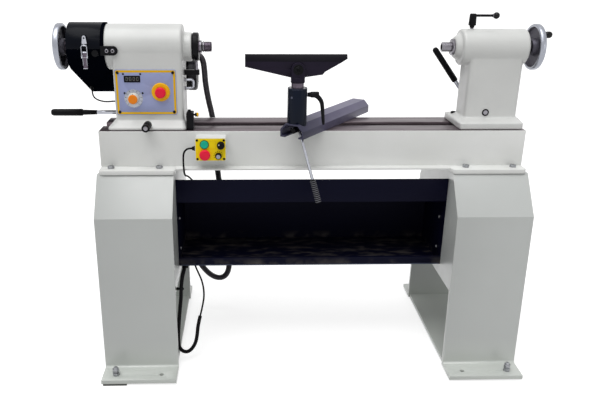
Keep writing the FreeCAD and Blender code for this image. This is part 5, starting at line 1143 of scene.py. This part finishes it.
# --- Tailstock --------------------------------------------------------------------------------
def tail_pieces():
    """Nose ring, set bolt, crank knob, quill and its lock."""
    ring = Piece("nose_ring", "tailstock", "chrome", ("tailstock_fittings",))
    low, high = NODE_MM["tailstock_fittings"]
    ring.turned([(0, 15.4), (0, 24), (1.5, 26), (6, 26), (8, 25), (8, 15.4)], (low.x, 0, AXIS), X,
                "turned_steel", 64, closed=True)
    bolt = (485.0, 42.0, 807.3)
    ring.turned([(0, 0), (0, 8.6), (9.6, 8.6), (12, 7.2), (12, 0)], bolt, Z, "black_steel", 6)
    ring.turned([(0, 0), (0, 10.2), (1.4, 10.2), (1.4, 0)], bolt, Z, "black_steel", 32)
    ring.done(0.3, 40)

    low, high = NODE_MM["quill"]
    shaft = Piece("quill_ground", "tail_quill", "steel", ("quill",))
    length = high.x - low.x
    shaft.turned([(1.0, 9.4), (0, 10.2), (0, 14), (1.0, 15), (length, 15), (length, 8)], (low.x, 0, AXIS),
                 X, "turned_steel", 64)
    # Black inside the quill's bore: painted shade in the hole.
    shaft.turned([(1.0, 9.4), (64, 7.4), (64, 5), (length, 8)], (low.x, 0, AXIS), X, "black_steel", 48)
    shaft.done(0)

    low, high = NODE_MM["crank_knob"]
    at = (low + high) / 2
    knob = Piece("crank_grip", "crank_handle", "dark_plastic", ("crank_knob",))
    knob.turned([(0, 0), (0, 4), (6.3, 4), (6.3, 7.4), (7.4, 8.2), (12, 9.6), (16, 10.5), (24, 10.5),
                 (28.5, 9), (31, 6.6), (32, 3.6), (32, 0)], (low.x, at.y, at.z), X, "black_ball", 48)
    knob.done(0)

    x, base = 502.0, AXIS + 57
    lock = Piece("quill_clamp", "quill_handle", "black_steel", ("quill_lock",))
    lock.rod((x, 0, AXIS + 16), (x, 0, base + 6), 5.0, "turned_steel")
    lock.turned([(3, 0), (3, 7.4), (9, 7.4), (10, 11.4), (11, 12), (43, 10.6), (45, 9.8), (46, 8.4),
                 (46, 0)], (x, 0, base), Z, "black_steel", 48)
    lock.rod((x, 0, base + 40), (x + 68, 0, base + 40), 4.0, "black_steel", 0.5, 28)
    lock.ball((x + 74, 0, base + 40), 10.5, "black_ball", 40)
    lock.turned([(0, 0), (0, 6.2), (1.6, 6.2), (2, 5.4), (2, 0)], (x + 62.5, 0, base + 40), X,
                "turned_steel", 32)
    lock.done(0.3, 45)


def make_details():
    """Every detailed piece, from the headstock to the tailstock."""
    head_casting()
    tail_casting()
    handwheel("outboard_wheel", "spindle_set", outer_x=-805.0, side=1, node="outboard_handwheel")
    handwheel("tail_wheel_dished", "tail_wheel", outer_x=720.0, side=-1, node="tail_handwheel")
    spindle_piece()
    control_face()
    button = dict(finish="red_button", slot="red_plastic", head_r=17.0, stem_r=9.0)
    stop_mushroom("stop_mushroom", "emergency_button", "estop_button", face_y=PANEL_FRONT, lift=10.0,
                  head_t=12.0, **button)
    speed_knob()
    index_knob()
    hand_lever("headstock_lever_turned", "headstock_lever", "headstock_clamp_lever", (-600, 112, 802),
               angle=180, length=282, grip_l=105, grip_r=12, neck=50, front=-60)
    hand_lever("tailstock_lever_turned", "tailstock_lever", "tailstock_clamp_lever", (560, 112, 834),
               angle=127, length=230, grip_l=135, grip_r=10.2, neck=0, front=-51)
    latch_pieces()
    guard_screws()
    neck_hardware()
    stop_screw()
    motor_piece()
    switch_face()
    stop_mushroom("stop_push", "stop", "stop_button", face_y=NODE_MM["stop_button"][0].y + 14, lift=4.0,
                  head_t=10.0, **button)
    banjo_handle()
    post_clamp()
    tray_hem()
    post_rim()
    rest_stem()
    tail_pieces()


make_details()


# --- Dressing the carried-over CAD nodes ------------------------------------------------------
def dress(node, finish):
    """A carried-over node gets its finish, and a rounded edge from modifiers."""
    made = NODES[node]
    made.data.materials.clear()
    made.data.materials.append(PAINT[finish])
    weld = made.modifiers.new("weld", "WELD")
    weld.merge_threshold = 1e-5
    flat = made.modifiers.new("flat", "DECIMATE")
    flat.decimate_type = "DISSOLVE"
    flat.angle_limit = math.radians(0.4)
    add_bevel(made, 0.8, 32)
    for face in made.data.polygons:
        face.use_smooth = True


DRESS = {
    "cream_paint": ("bed_beams", "bed_cross_ties", "bed_mount_plates"),
    "leg_cream": ("leg_left", "leg_right"),
    "ground_ways": ("bed_ways",),
    "foot_zinc": ("levelling_feet",),
    "zinc": ("frame_bolts", "headstock_clamp_plate", "tailstock_clamp_plate",
             "banjo_clamp_plate", "banjo_bolt"),
    "tray_navy": ("chip_tray",),
    "black_gloss": ("belt_cover",),
    "black_satin": ("belt_housing",),
    "black_steel": ("housing_fittings", "stop_block", "index_ring"),
    "turned_steel": ("spindle_bearings", "rest_bush", "feed_screw"),
    "turned_alloy": ("spindle_pulley", "motor_pulley"),
    "belt_rubber": ("drive_belt",),
    "panel_lavender": ("control_panel",),
    "black_plastic": ("cable_fittings",),
    "banjo_violet": ("banjo_channel",),
    "post_navy": ("banjo_post",),
    "rest_iron": ("rest_blade",),
}
for finish, nodes in DRESS.items():
    for node in nodes:
        dress(node, finish)
